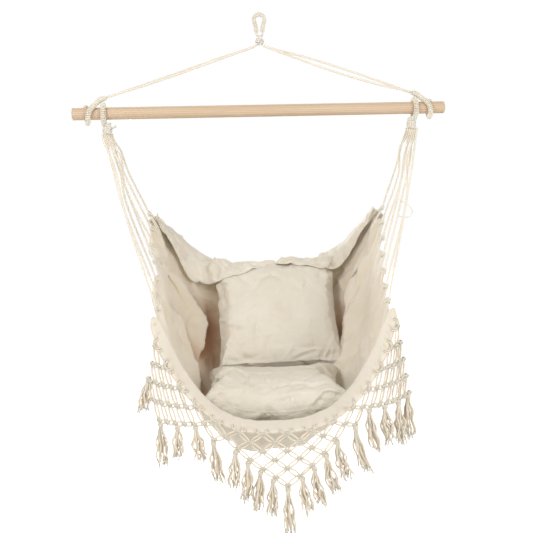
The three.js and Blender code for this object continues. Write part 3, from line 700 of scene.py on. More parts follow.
@dataclass(frozen=True)
class WoodFinish:
    """Pale sanded wood with its grain along the bar and rings at its ends."""

    name: str
    pale: tuple[float, float, float, float]
    dark: tuple[float, float, float, float]

    def material(self) -> bpy.types.Material:
        """Builds the material.

        Returns:
            The material.
        """
        made, nodes, shader = fresh_material(self.name)
        place = nodes.add("ShaderNodeTexCoord").outputs["Object"]
        long = nodes.add("ShaderNodeMapping", {"Vector": place, "Scale": (2.2, 60.0, 60.0)})
        slow = nodes.add("ShaderNodeTexNoise", {
            "Vector": long.outputs[0], "Scale": 1.0, "Detail": 4.0, "Distortion": 0.5})
        board = nodes.add("ShaderNodeMapping", {
            "Vector": place, "Location": (0.0, 0.012, 0.021), "Scale": (0.25, 1.0, 1.0)})
        bent = nodes.vector("ADD", board.outputs[0],
                            nodes.vector("SCALE", slow.outputs["Color"], 0.004))
        rings = nodes.add("ShaderNodeTexWave", {
            "Vector": bent, "Scale": 60.0, "Distortion": 1.2, "Detail": 2.0,
            "Detail Scale": 0.4}, wave_type="RINGS", rings_direction="X")
        pores = nodes.add("ShaderNodeMapping", {"Vector": place, "Scale": (18.0, 900.0, 900.0)})
        pore = nodes.add("ShaderNodeTexNoise", {"Vector": pores.outputs[0], "Scale": 1.0,
                                                "Detail": 2.0})
        line = nodes.ramp(rings.outputs["Fac"], [(0.35, 0.0), (0.95, 0.75)])
        tone = nodes.blend(line, self.pale, self.dark)
        streak = nodes.ramp(slow.outputs["Fac"], [(0.4, 0.0), (0.75, 0.45)])
        tone = nodes.blend(streak, tone, self.dark)
        speck = nodes.ramp(pore.outputs["Fac"], [(0.55, 0.0), (0.75, 0.3)])
        tone = nodes.blend(speck, tone, (0.36, 0.22, 0.11, 1.0))
        rough = nodes.math("ADD", nodes.math("MULTIPLY", pore.outputs["Fac"], 0.2), 0.4)
        bump = nodes.add("ShaderNodeBump", {
            "Height": pore.outputs["Fac"], "Strength": 0.3, "Distance": 0.0002})
        nodes.tree.links.new(tone, shader.inputs["Base Color"])
        nodes.tree.links.new(rough, shader.inputs["Roughness"])
        nodes.tree.links.new(bump.outputs[0], shader.inputs["Normal"])
        shader.inputs["Specular IOR Level"].default_value = 0.4
        return made


class Finish(Enum):
    """The finishes of this chair by what they cover."""

    CANVAS = "canvas"
    CUSHION = "cushion_cover"
    CORD = "cotton_cord"
    WHIPPING = "whipping_cord"
    FRINGE = "fringe_cord"
    FRAY = "frayed_cotton"
    THREAD = "sewing_thread"
    WOOD = "pale_wood"


class Finishes:
    """Every material of the chair, built once."""

    def __init__(self) -> None:
        """Builds the materials."""
        groups = ShaderGroups()
        cream = (0.81, 0.757, 0.672, 1.0)
        shade = (0.66, 0.58, 0.45, 1.0)
        white = (0.84, 0.795, 0.705, 1.0)
        # A stain colour for cords, which is also the colour of the painted shade in their grooves.
        dust_and_groove_shade = (0.66, 0.58, 0.46, 1.0)
        self.made = {
            # The canvas carries a warm brown painted shade behind its stepped panels.
            Finish.CANVAS: ClothFinish("canvas", cream, shade, glow=0.5,
                                       painted_warm_shade=(0.42, 0.21, 0.07, 1.0)).material(groups),
            Finish.CUSHION: ClothFinish("cushion_cover", (0.79, 0.75, 0.67, 1.0), shade,
                                        threads=1100.0, glow=0.0, crease=0.8).material(groups),
            Finish.CORD: CordFinish("cotton_cord", white, dust_and_groove_shade).material(groups),
            Finish.WHIPPING: CordFinish("whipping_cord", white, dust_and_groove_shade,
                                        mapped=False).material(groups),
            Finish.FRINGE: CordFinish("fringe_cord", (0.78, 0.715, 0.61, 1.0), dust_and_groove_shade, plies=2.0,
                                      turn_length=0.011).material(groups),
            Finish.FRAY: CordFinish("frayed_cotton", (0.84, 0.79, 0.69, 1.0), dust_and_groove_shade,
                                    mapped=False).material(groups),
            Finish.THREAD: CordFinish("sewing_thread", (0.8, 0.745, 0.645, 1.0), dust_and_groove_shade,
                                      mapped=False).material(groups),
            Finish.WOOD: WoodFinish("pale_wood", (0.69, 0.55, 0.405, 1.0),
                                    (0.57, 0.4, 0.25, 1.0)).material(),
        }

    def __getitem__(self, finish: Finish) -> bpy.types.Material:
        """One material by its finish."""
        return self.made[finish]


class Patterns:
    """The Geometry Nodes trees of this chair: whipping, stitches and frayed ends."""

    def __init__(self) -> None:
        """Builds the trees."""
        self.whipping = self._whipping()
        self.stitches = self._stitches()
        self.frays = self._frays()

    @staticmethod
    def _finish(nodes: Nodes, shape: object, given: bpy.types.Node) -> None:
        """Ends a tree with realised, smooth geometry of the given material.

        Args:
            nodes: the tree's nodes.
            shape: the geometry.
            given: the node with what the tree is given.
        """
        real = nodes.add("GeometryNodeRealizeInstances", {0: shape})
        soft = nodes.add("GeometryNodeSetShadeSmooth", {0: real.outputs[0]})
        dressed = nodes.add("GeometryNodeSetMaterial", {
            0: soft.outputs[0], "Material": given.outputs["Material"]})
        nodes.add("NodeGroupOutput", {0: dressed.outputs[0]})

    @staticmethod
    def _swept(nodes: Nodes, line: object, radius: object, sides: int) -> object:
        """A capped tube along a line.

        Args:
            nodes: the tree's nodes.
            line: the line.
            radius: the tube's radius.
            sides: how many sides it has.

        Returns:
            The tube's socket.
        """
        ring = nodes.add("GeometryNodeCurvePrimitiveCircle", {
            "Resolution": sides, "Radius": radius})
        tube = nodes.add("GeometryNodeCurveToMesh", {
            "Curve": line, "Profile Curve": ring.outputs[0], "Fill Caps": True})
        return tube.outputs[0]

    @staticmethod
    def _marked(nodes: Nodes, name: str) -> object:
        """The vector that each place carries under a name."""
        return nodes.add("GeometryNodeInputNamedAttribute", {"Name": name},
                         data_type="FLOAT_VECTOR").outputs[0]

    def _whipping(self) -> bpy.types.NodeTree:
        """A thin cord wound round a path as one unbroken tube.

        Returns:
            The tree.
        """
        tree, nodes, given = group_tree("whipping", "GeometryNodeTree", [
            ("Path", "INPUT", SHAPE, None), ("Turns", "INPUT", COUNT, 30),
            ("Steps per turn", "INPUT", COUNT, 14), ("Wind radius", "INPUT", NUMBER, 0.005),
            ("Cord radius", "INPUT", NUMBER, 0.0019), ("Material", "INPUT", STUFF, None),
            ("Geometry", "OUTPUT", SHAPE, None)])
        turns = given.outputs["Turns"]
        count = nodes.math("ADD", nodes.math("MULTIPLY", turns, given.outputs["Steps per turn"]), 1)
        path = nodes.add("GeometryNodeResampleCurve", {"Curve": given.outputs["Path"],
                                                       "Count": count}, mode="COUNT")
        share = nodes.add("GeometryNodeSplineParameter").outputs["Factor"]
        angle = nodes.math("MULTIPLY", nodes.math("MULTIPLY", share, turns), 2 * math.pi)
        normal = nodes.add("GeometryNodeInputNormal").outputs[0]
        tangent = nodes.add("GeometryNodeInputTangent").outputs[0]
        across = nodes.vector("CROSS_PRODUCT", tangent, normal)
        first = nodes.vector("SCALE", normal, nodes.math("COSINE", angle))
        second = nodes.vector("SCALE", across, nodes.math("SINE", angle))
        offset = nodes.vector("SCALE", nodes.vector("ADD", first, second),
                              given.outputs["Wind radius"])
        wound = nodes.add("GeometryNodeSetPosition", {0: path.outputs[0], "Offset": offset})
        tube = self._swept(nodes, wound.outputs[0], given.outputs["Cord radius"], 8)
        self._finish(nodes, tube, given)
        return tree

    @staticmethod
    def _placed(nodes: Nodes, points: object, shape: object, way: object, face: object,
                low: float, high: float, seed: object) -> object:
        """Puts a shape on points.

        Args:
            nodes: the tree's nodes.
            points: where it goes.
            shape: the shape.
            way: where its X points.
            face: what its Z comes as near as it can.
            low: its smallest size.
            high: its largest.
            seed: what its sizes are drawn from.

        Returns:
            The placed shapes.
        """
        first = nodes.add("FunctionNodeAlignRotationToVector", {"Vector": way}, axis="X")
        second = nodes.add("FunctionNodeAlignRotationToVector", {
            "Rotation": first.outputs[0], "Vector": face}, axis="Z", pivot_axis="X")
        size = nodes.add("FunctionNodeRandomValue", {2: low, 3: high, "Seed": seed},
                         data_type="FLOAT")
        placed = nodes.add("GeometryNodeInstanceOnPoints", {
            "Points": points, "Instance": shape, "Rotation": second.outputs[0],
            "Scale": size.outputs[1]})
        return placed.outputs[0]

    def _stitches(self) -> bpy.types.NodeTree:
        """A bowed stitch at each point, along its own way and out of its own face.

        Returns:
            The tree.
        """
        tree, nodes, given = group_tree("stitches", "GeometryNodeTree", [
            ("Places", "INPUT", SHAPE, None), ("Length", "INPUT", NUMBER, 0.012),
            ("Bow", "INPUT", NUMBER, 0.004), ("Thread radius", "INPUT", NUMBER, 0.0008),
            ("Seed", "INPUT", COUNT, 3), ("Material", "INPUT", STUFF, None),
            ("Geometry", "OUTPUT", SHAPE, None)])
        half = nodes.math("MULTIPLY", given.outputs["Length"], 0.5)
        less = nodes.math("MULTIPLY", half, -1.0)
        ends = [nodes.add("ShaderNodeCombineXYZ", {0: x, 2: z}).outputs[0]
                for x, z in ((less, 0.0), (0.0, given.outputs["Bow"]), (half, 0.0))]
        line = nodes.add("GeometryNodeCurveQuadraticBezier", {
            "Resolution": 5, "Start": ends[0], "Middle": ends[1], "End": ends[2]})
        tube = self._swept(nodes, line.outputs[0], given.outputs["Thread radius"], 6)
        way, face = self._marked(nodes, "way"), self._marked(nodes, "face")
        placed = self._placed(nodes, given.outputs["Places"], tube, way, face,
                              0.8, 1.15, given.outputs["Seed"])
        self._finish(nodes, placed, given)
        return tree

    def _frays(self) -> bpy.types.NodeTree:
        """A brush of loose fibres at each cord's end.

        Returns:
            The tree.
        """
        tree, nodes, given = group_tree("frayed_ends", "GeometryNodeTree", [
            ("Places", "INPUT", SHAPE, None), ("Fibres", "INPUT", COUNT, 7),
            ("Length", "INPUT", NUMBER, 0.014), ("Fibre radius", "INPUT", NUMBER, 0.0004),
            ("Spread", "INPUT", NUMBER, 0.35), ("Seed", "INPUT", COUNT, 5),
            ("Material", "INPUT", STUFF, None), ("Geometry", "OUTPUT", SHAPE, None)])
        points = nodes.add("GeometryNodeMeshToPoints", {0: given.outputs["Places"]})
        many = nodes.add("GeometryNodeDuplicateElements", {
            "Geometry": points.outputs[0], "Amount": given.outputs["Fibres"]}, domain="POINT")
        tip = nodes.add("ShaderNodeCombineXYZ", {0: given.outputs["Length"]}).outputs[0]
        middle = nodes.add("ShaderNodeCombineXYZ", {
            0: nodes.math("MULTIPLY", given.outputs["Length"], 0.55),
            2: nodes.math("MULTIPLY", given.outputs["Length"], 0.22)}).outputs[0]
        line = nodes.add("GeometryNodeCurveQuadraticBezier", {
            "Resolution": 4, "Middle": middle, "End": tip})
        line.inputs["Start"].default_value = (0.0, 0.0, 0.0)
        tube = self._swept(nodes, line.outputs[0], given.outputs["Fibre radius"], 3)
        way = self._marked(nodes, "way")
        stray = nodes.add("FunctionNodeRandomValue", {
            0: (-1.0, -1.0, -1.0), 1: (1.0, 1.0, 1.0), "Seed": given.outputs["Seed"]},
            data_type="FLOAT_VECTOR").outputs[0]
        bent = nodes.vector("ADD", way, nodes.vector("SCALE", stray, given.outputs["Spread"]))
        later = nodes.math("ADD", given.outputs["Seed"], 1)
        placed = self._placed(nodes, many.outputs[0], tube, bent, stray, 0.5, 1.2, later)
        self._finish(nodes, placed, given)
        return tree


def grown(name: str, data: bpy.types.ID, tree: bpy.types.NodeTree,
          values: dict) -> Thing:
    """Runs a Geometry Nodes tree on a mesh or curve and keeps the result as a plain mesh.

    Args:
        name: the new object's name.
        data: the mesh or curve that the tree starts from.
        tree: the tree.
        values: the tree's inputs by name.

    Returns:
        The new object, without its modifier.
    """
    seed = linked(name + "_seed", data)
    work = seed.modifiers.new("work", "NODES")
    work.node_group = tree
    for item in tree.interface.items_tree:
        if item.name in values:
            work[item.identifier] = values[item.name]
    graph = bpy.context.evaluated_depsgraph_get()
    mesh = bpy.data.meshes.new_from_object(seed.evaluated_get(graph))
    mesh.name = name
    made = linked(name, mesh)
    bpy.data.objects.remove(seed)
    return made


def path_curve(name: str, path: Array) -> bpy.types.Curve:
    """A plain curve through the points of a path.

    Args:
        name: the curve's name.
        path: the points of the path.

    Returns:
        The curve.
    """
    made = bpy.data.curves.new(name, "CURVE")
    made.dimensions = "3D"
    line = made.splines.new("POLY")
    line.points.add(len(path) - 1)
    line.points.foreach_set("co", np.hstack([path, np.ones((len(path), 1))]).ravel())
    return made


def marked_points(name: str, points: Array, **ways: Array) -> bpy.types.Mesh:
    """Loose points that carry vectors for a tree to read.

    Args:
        name: the mesh's name.
        points: the points.
        ways: the vectors that they carry, by name.

    Returns:
        The mesh.
    """
    made = bpy.data.meshes.new(name)
    made.from_pydata(np.asarray(points), [], [])
    for label, values in ways.items():
        layer = made.attributes.new(label, "FLOAT_VECTOR", "POINT")
        layer.data.foreach_set("vector", np.asarray(values, float).ravel())
    return made


# The camera, needed for what is placed by a pixel of the photograph


@dataclass(frozen=True)
class PhotoCamera:
    """The camera that was matched to the photograph."""

    azimuth: float = math.radians(-6.0)
    elevation: float = math.radians(6.0)
    roll: float = math.radians(1.3)
    target: tuple[float, float, float] = (0.00484, -0.00051, -0.66504)
    distance: float = 3.0
    focal: float = 1105.95
    side: float = 533.0
    sensor: float = 36.0
    sight: float = 60.0

    def axes(self) -> tuple[Array, Array, Array]:
        """The ways right, up and back of the camera.

        Returns:
            The three ways, each of length one.
        """
        a, e, r = self.azimuth, self.elevation, self.roll
        back = np.array([math.sin(a) * math.cos(e), -math.cos(a) * math.cos(e), math.sin(e)])
        right = np.array([math.cos(a), math.sin(a), 0.0])
        up = np.cross(back, right)
        return (right * math.cos(r) - up * math.sin(r), up * math.cos(r) + right * math.sin(r),
                back)

    def place(self) -> Array:
        """Where the camera stands."""
        return np.array(self.target) + self.axes()[2] * self.distance

    def ray(self, x: float, y: float) -> Array:
        """The way from the camera through a pixel of the photograph.

        Args:
            x: the pixel's place from the left.
            y: the pixel's place from the top.

        Returns:
            The way, of length one.
        """
        right, up, back = self.axes()
        half = self.side / 2
        return unit(-back + right * (x - half) / self.focal - up * (y - half) / self.focal)

    def at_depth(self, x: float, y: float, forward: float) -> Array:
        """The place that a pixel shows on an upright plane across the chair."""
        start, way = self.place(), self.ray(x, y)
        return start + way * ((forward - start[1]) / way[1])

    def make(self) -> None:
        """Puts the camera in the scene."""
        right, up, back = self.axes()
        data = bpy.data.cameras.new("photo_camera")
        data.sensor_width = self.sensor
        data.lens = self.focal / self.side * self.sensor
        data.clip_end = self.sight
        made = linked("photo_camera", data)
        turn = Matrix((right, up, back)).transposed().to_4x4()
        made.matrix_world = Matrix.Translation(Vector(self.place())) @ turn
        bpy.context.scene.camera = made


CAMERA = PhotoCamera()


@dataclass(frozen=True)
class Crease:
    """One soft fold in cloth along a line of photograph pixels.

    Depth is how far it sinks, width how broad it is, and lip how much of the depth stands up
    beside it. Reads is at how many places its line is read, reach how many widths past the line
    it is felt, end the share of the line at each end where it is least, taper how it thins out
    to them, and lip_place how many widths from the line the lip stands.
    """

    pixels: tuple[tuple[float, float], ...]
    depth: float
    width: float
    lip: float
    reads: int = 28
    reach: float = 4.0
    end: float = 0.02
    taper: float = 0.6
    lip_place: float = 1.6


@dataclass(frozen=True)
class Crumple:
    """Many loose creases that lie any way: how many, and from what to what they measure.

    The heights run from the deepest, below nothing, to the highest. Bend is how much a crease
    curves, reach how many lengths it is felt, pinch how blunt its ridge is, and through how far
    it is felt through the cloth.
    """

    count: int
    lengths: tuple[float, float]
    widths: tuple[float, float]
    heights: tuple[float, float]
    bend: float = 6.0
    reach: float = 2.2
    pinch: float = 0.35
    through: float = 0.03


@dataclass(frozen=True)
class Overlap:
    """A panel of cloth that stands forward along a line of pixels and ends there in a step.

    Height is how far it stands, broad how far it fades into the cloth behind it, step how
    sharply it ends, side 1 or -1 for the side of the line that stands forward, and side_share
    how strong the painted warm shade behind its step is. Reads is at how many places its line is
    read, rise_rate and rise_start how the panel rises along the line, lee_reach how many times
    broad that painted shade reaches, and lee_from and lee_rate where along the line it starts
    and how fast it deepens.
    """

    pixels: tuple[tuple[float, float], ...]
    height: float
    broad: float
    step: float
    side: float
    side_share: float = 1.0
    reads: int = 60
    rise_rate: float = 4.0
    rise_start: float = 0.25
    lee_reach: float = 1.6
    lee_from: float = 0.1
    lee_rate: float = 2.5


def cast(tree: BVHTree, pixels: Sequence[tuple[float, float]]) -> Array:
    """The places of a surface that the camera sees at some pixels.

    Args:
        tree: the surface.
        pixels: the pixels.

    Returns:
        The places, without the pixels that miss it.
    """
    start = Vector(CAMERA.place())
    found = [tree.ray_cast(start, Vector(CAMERA.ray(x, y)))[0] for x, y in pixels]
    return np.array([point for point in found if point is not None])


def press(points: Array, normals: Array, tree: BVHTree, creases: Sequence[Crease]) -> Array:
    """Presses creases into a surface.

    Args:
        points: the surface's points.
        normals: their normals.
        tree: the surface before any crease.
        creases: the folds.

    Returns:
        The moved points.
    """
    moved = points.copy()
    for fold in creases:
        line = cast(tree, fold.pixels)
        if len(line) < 2:
            continue
        line = curved(line, fold.reads)
        steps = np.linspace(0.0, 1.0, len(line))
        reach = length_of(line) + fold.reach * fold.width
        near = np.linalg.norm(points - line.mean(axis=0), axis=1) < reach
        gaps = np.linalg.norm(points[near][:, None, :] - line[None, :, :], axis=2)
        nearest = gaps.argmin(axis=1)
        gap = gaps.min(axis=1)
        inside = np.clip(steps[nearest], fold.end, 1 - fold.end)
        taper = np.sin(np.pi * inside) ** fold.taper
        along = unit(np.gradient(line, axis=0))[nearest]
        aside = np.cross(normals[near], along)
        side = np.sign(((points[near] - line[nearest]) * aside).sum(axis=1))
        sink = np.exp(-((gap / fold.width) ** 2))
        beside = (side * gap - fold.lip_place * fold.width) / fold.width
        rise = fold.lip * np.exp(-(beside ** 2))
        moved[near] += normals[near] * (fold.depth * taper * (rise - sink))[:, None]
    return moved


def crumpled(points: Array, normals: Array, chance: np.random.Generator,
             crumple: Crumple) -> Array:
    """Heights of loose creases that lie any way on a surface.

    Args:
        points: the surface's points.
        normals: their normals.
        chance: where the creases fall.
        crumple: how many there are and their sizes.

    Returns:
        How far each point moves along its normal.
    """
    made = np.zeros(len(points))
    for _ in range(crumple.count):
        index = chance.integers(len(points))
        out = normals[index]
        way = chance.normal(0.0, 1.0, 3)
        way = unit(way - out * way.dot(out))
        length, width = chance.uniform(*crumple.lengths), chance.uniform(*crumple.widths)
        bend = chance.uniform(-crumple.bend, crumple.bend)
        height = chance.uniform(*crumple.heights)
        near = np.linalg.norm(points - points[index], axis=1) < crumple.reach * length
        apart = points[near] - points[index]
        along = apart @ way
        aside = apart @ np.cross(out, way) + bend * along ** 2
        pinched = np.sqrt(aside ** 2 + (crumple.pinch * width) ** 2) / width
        deep = (apart @ out) / crumple.through
        shape = np.exp(-((along / length) ** 2) - pinched - deep ** 2)
        made[near] += height * shape
    return made


def stand_forward(points: Array, normals: Array, tree: BVHTree,
                  panel: Overlap) -> tuple[Array, Array]:
    """Raises a panel that ends in a step.

    Args:
        points: the surface's points.
        normals: the way in which the panel stands forward.
        tree: the surface before.
        panel: the panel.

    Returns:
        The moves of the points, and how much painted shade each gets behind the step.
    """
    line = curved(cast(tree, panel.pixels), panel.reads)
    gaps = np.linalg.norm(points[:, None, :] - line[None, :, :], axis=2)
    nearest, gap = gaps.argmin(axis=1), gaps.min(axis=1)
    share = nearest / (len(line) - 1)
    along = unit(np.gradient(line, axis=0))[nearest]
    side = ((points - line[nearest]) * np.cross(normals, along)).sum(axis=1) * panel.side
    ahead = side > 0
    rise = np.where(ahead, np.exp(-((gap / panel.broad) ** 2)), np.exp(-((gap / panel.step) ** 2)))
    ends = ease(share * panel.rise_rate + panel.rise_start)
    # Painted shade: a mask on the sunken side of the step, deepening along the line.
    painted_warm_shade = np.where(ahead, 0.0, np.exp(-((gap / (panel.lee_reach * panel.broad)) ** 2)))
    painted_warm_shade = painted_warm_shade * ease((share - panel.lee_from) * panel.lee_rate)
    return normals * (panel.height * rise * ends)[:, None], painted_warm_shade


# Rope pieces


@dataclass
class WhippedRope:
    """Sizes of the whipped rope: a plain core and the thin cord wound tightly over it."""

    core_radius: float = 0.0036
    cord_radius: float = 0.0019
    outer: float = 0.0073

    def dress(self, name: str, path: Array, patterns: Patterns, finishes: Finishes,
              trim: float = 0.004) -> Thing:
        """Winds the cord along a path.

        Args:
            name: the piece's name.
            path: the rope's middle line.
            patterns: the trees.
            finishes: the materials.
            trim: how much of each end stays bare.

        Returns:
            The wound cord as a mesh.
        """
        whole = length_of(path)
        shares = np.linspace(trim / whole, 1 - trim / whole, 160)
        covered = through(evenly(path, 120), shares)
        turns = int(length_of(covered) / (2.06 * self.cord_radius))
        return grown(name, path_curve(name, covered), patterns.whipping, {
            "Turns": turns, "Wind radius": self.outer - self.cord_radius,
            "Cord radius": self.cord_radius, "Material": finishes[Finish.WHIPPING]})


def drop_loop(width: float, height: float, outer: float, legs: float) -> Array:
    """A rope loop like a drop in the XZ plane, the inside of its top at the origin.

    Args:
        width: the opening's width.
        height: the opening's height.
        outer: the rope's outer radius.
        legs: how far both ends run on below the opening.

    Returns:
        The points of the rope's middle line.
    """
    radius = width / 2 + outer
    top = outer - radius
    throat = outer + 0.001
    half = [(throat, -height - legs), (throat, -height)]
    half += [(radius * math.cos(a), top + radius * math.sin(a))
             for a in (-math.pi / 6, 0.0, math.pi / 6, math.pi / 3, math.pi / 2)]
    right = [(x, 0.0, z) for x, z in half]
    left = [(-x, 0.0, z) for x, z in half[:-1]]
    return np.array(left + right[::-1])


def wraps(skin: Skin, centre: Array, radius: float, cord: float, height: float,
          wide: float = 1.0, turned: bool = False) -> None:
    """Adds a short binding of close wraps round an upright bundle.

    Args:
        skin: the mesh that grows.
        centre: the top of the binding.
        radius: its outer radius.
        cord: the radius of the cord it is made of.
        height: how far it reaches down.
        wide: how much longer its section is one way.
        turned: whether the long way is Y.
    """
    turns = max(2, round(height / (2.02 * cord)))
    angle = np.linspace(0.0, 2 * np.pi * turns, 18 * turns)
    share = angle / angle[-1]
    reach = radius - cord
    x, y = reach * wide * np.cos(angle), reach * np.sin(angle)
    if turned:
        x, y = y, x
    path = np.stack([x, y, -cord - (height - 2 * cord) * share], axis=1)
    skin.tube(centre + path, cord, 8)


@dataclass
class HangingEye:
    """The whipped eye that hangs on a hook, and the knot that gathers the cords under it."""

    opening_width: float = 0.014
    opening_height: float = 0.033
    throat: float = 0.014
    outer: float = 0.0071
    seizing_height: float = 0.005
    seizing_cord: float = 0.0014
    seizing_spread: float = 0.0027
    bare: float = 0.007
    knot_radius: float = 0.012
    knot_z: float = -0.06385
    knot_cord: float = 0.0027
    knot_wave: float = 0.0012
    knot_turns: tuple = ((0.15, 0.0, 1.0), (1.15, 0.4, 0.98), (-1.1, 1.5, 0.96),
                         (0.5, 2.2, 0.94), (-0.45, 2.9, 0.97))
    heart_half: float = 0.009
    heart_radius: float = 0.0075
    rope: WhippedRope = field(default_factory=lambda: WhippedRope(0.003, 0.0016, 0.0061))

    def build(self, patterns: Patterns, finishes: Finishes) -> list[Thing]:
        """Builds the eye's core with its binding, its whipping, and the knot.

        Args:
            patterns: the Geometry Nodes trees.
            finishes: the materials.

        Returns:
            The pieces.
        """
        points = drop_loop(self.opening_width, self.opening_height, self.outer, self.throat)
        path = curved(points, 90)
        core = Skin()
        core.tube(path, self.rope.core_radius, 12)
        foot = np.array([0.0, 0.0, -self.opening_height - self.throat + 0.0005])
        wide = (self.outer + self.seizing_spread) / self.outer
        wraps(core, foot, self.outer, self.seizing_cord, self.seizing_height + 0.0006, wide)
        eye = core.piece("eye_rope", finishes[Finish.WHIPPING])
        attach(eye, "eye")
        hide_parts("hanging_eye")
        whip = self.rope.dress("eye_whipping_cord", path, patterns, finishes, self.bare)
        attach(whip, "eye")
        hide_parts("eye_whipping")
        knot = self._knot(finishes)
        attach(knot, "knot")
        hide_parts("eye_knot")
        return [eye, whip, knot]

    def _knot(self, finishes: Finishes) -> Thing:
        """A round knot of crossing turns of cord about a heart that fills it.

        Args:
            finishes: the materials.

        Returns:
            The knot.
        """
        skin = Skin()
        centre = np.array([0.0, 0.0, self.knot_z])
        angle = np.linspace(0.0, 2 * np.pi, 40)
        for index, (tilt, turn, reach) in enumerate(self.knot_turns):
            radius = self.knot_radius * reach - self.knot_cord
            ring = np.stack([radius * np.cos(angle), radius * np.sin(angle),
                             self.knot_wave * np.sin(3 * angle + index)], axis=1)
            spin = Matrix.Rotation(turn, 3, "Z") @ Matrix.Rotation(tilt, 3, "X")
            skin.tube(centre + ring @ np.array(spin).T, self.knot_cord, 10)
        angle = np.linspace(0.0, np.pi, 14)
        heart = (np.cos(angle) * self.heart_half)[:, None] * UP
        skin.tube(centre + heart, self.heart_radius * np.sin(angle) ** 0.5 + 1e-4, 14)
        return skin.piece("knot_of_cord", finishes[Finish.CORD])


@dataclass
class Suspension:
    """The four cords from the knot and the whipped hitches that they end in on the bar."""

    bar_length: float = 1.0
    bar_radius: float = 0.016
    bar_drop: float = 0.246
    knot_z: float = -0.06385
    knot_radius: float = 0.012
    gap: float = 0.00035
    cord_radius: float = 0.0029
    spread: float = 0.0059
    sag: float = 0.003
    leave: float = 0.0035
    straight: float = 0.014
    partings: dict[str, float] = field(default_factory=lambda: {"left": 0.002, "right": 0.008})
    inset: float = 0.041
    drift: float = 0.01
    lead: float = 0.016
    reach: float = 0.051
    rise: float = 0.042
    arm: float = 0.017
    bare: float = 0.003
    sag_shares: tuple[float, ...] = (0.3, 0.55, 0.8)
    ring_gap: float = 0.001
    ring_from: float = math.pi / 9
    ring_to: float = 11 * math.pi / 6
    lead_until: float = 5 * math.pi / 9
    rope: WhippedRope = field(default_factory=WhippedRope)

    def leg_start(self, sign: float) -> Array:
        """Where a leg leaves the knot."""
        reach = (self.knot_radius + self.gap) * math.sqrt(0.5)
        return np.array([sign * reach, 0.0, self.knot_z - reach])

    def hitch_start(self, sign: float) -> Array:
        """Where a hitch begins."""
        return np.array([sign * (self.bar_length / 2 - self.inset - self.reach), 0.0,
                         -self.bar_drop + self.rise])

    def leg(self, name: str, sign: float, side: float) -> Array:
        """The route of one suspension cord.

        Args:
            name: the name of its side, left or right.
            sign: -1 for the left side, 1 for the right.
            side: -1 for the front cord of the pair, 1 for the rear one.

        Returns:
            The points that it runs through.
        """
        start = self.leg_start(sign)
        slope = unit(self.hitch_start(sign) - start)
        end = self.hitch_start(sign) - slope * self.gap
        away = np.array([sign, 0.0, -1.0]) * math.sqrt(0.5)
        route = [start, start + away * self.leave]
        for share in self.sag_shares:
            point = start + (end - start) * share
            point[2] -= (self.sag - side * self.partings[name]) * math.sin(math.pi * share)
            route.append(point)
        route += [end - slope * self.straight, end]
        return np.array(route) + np.array([0.0, side * self.spread / 2, 0.0])

    def hitch(self, sign: float) -> Array:
        """The route of one hitch's rope.

        Args:
            sign: -1 for the left side, 1 for the right.

        Returns:
            The points that it runs through.
        """
        start = self.hitch_start(sign)
        slope = unit(start - self.leg_start(sign))
        ring = sign * (self.bar_length / 2 - self.inset)
        wrap = self.bar_radius + self.ring_gap + self.rope.outer
        points = [start, start + slope * self.arm]
        for share in np.linspace(0.0, 1.0, 13):
            angle = mix(self.ring_from, self.ring_to, share)
            lead = self.lead * (1 - ease(angle / self.lead_until))
            x = ring + sign * (self.drift * (share - 0.5) - lead)
            points.append([x, -wrap * math.sin(angle), wrap * math.cos(angle) - self.bar_drop])
        return np.array(points)

    def build(self, patterns: Patterns, finishes: Finishes) -> list[Thing]:
        """Builds the cords and the hitches.

        Args:
            patterns: the Geometry Nodes trees.
            finishes: the materials.

        Returns:
            The pieces.
        """
        made = []
        for name, sign in SIDES:
            for place, side in (("front", -1.0), ("rear", 1.0)):
                route = self.leg(name, sign, side)
                path = curved(route, 60)
                skin = Skin()
                skin.tube(path, self.cord_radius, 12)
                cord = skin.piece(f"laid_cord_{name}_{place}", finishes[Finish.CORD])
                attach(cord, "suspension")
                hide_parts(f"suspension_cord_{name}_{place}")
                made.append(cord)
            made += self._hitch(name, sign, patterns, finishes)
        return made

    def _hitch(self, name: str, sign: float, patterns: Patterns,
               finishes: Finishes) -> list[Thing]:
        """One hitch: its core and its whipping.

        Args:
            name: the name of its side, left or right.
            sign: -1 for the left side, 1 for the right.
            patterns: the Geometry Nodes trees.
            finishes: the materials.

        Returns:
            The core and the whipping.
        """
        path = curved(self.hitch(sign), 90)
        core = Skin()
        core.tube(path, self.rope.core_radius, 12)
        body = core.piece(f"hitch_rope_{name}", finishes[Finish.WHIPPING])
        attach(body, "suspension")
        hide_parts(f"bar_hitch_{name}")
        whip = self.rope.dress(f"hitch_whipping_cord_{name}", path, patterns, finishes,
                               self.bare)
        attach(whip, "suspension")
        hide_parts(f"hitch_whipping_{name}")
        return [body, whip]


@dataclass
class SpreaderBar:
    """The round wooden bar."""

    length: float = 1.0
    radius: float = 0.016
    end_round: float = 0.004
    drop: float = 0.246
    sides: int = 64
    end_steps: int = 6
    plain_inset: float = 0.02
    plain_rings: int = 24

    def build(self, finishes: Finishes) -> list[Thing]:
        """Builds the bar with softly rounded ends.

        Args:
            finishes: the materials.

        Returns:
            The pieces.
        """
        half = self.length / 2
        bend = np.linspace(0.0, math.pi / 2, self.end_steps)
        plain = half - self.plain_inset
        ends = [(half - self.end_round * (1 - math.sin(a)), self.radius
                 - self.end_round * (1 - math.cos(a))) for a in bend]
        profile = [(-x, r) for x, r in ends[::-1]]
        profile += [(x, self.radius) for x in np.linspace(-plain, plain, self.plain_rings)]
        profile += ends
        path = np.array([[x, 0.0, -self.drop] for x, _ in profile])
        skin = Skin()
        skin.tube(path, np.array([r for _, r in profile]), self.sides)
        bar = skin.piece("wooden_bar", finishes[Finish.WOOD])
        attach(bar, "bar")
        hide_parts("spreader_bar")
        return [bar]


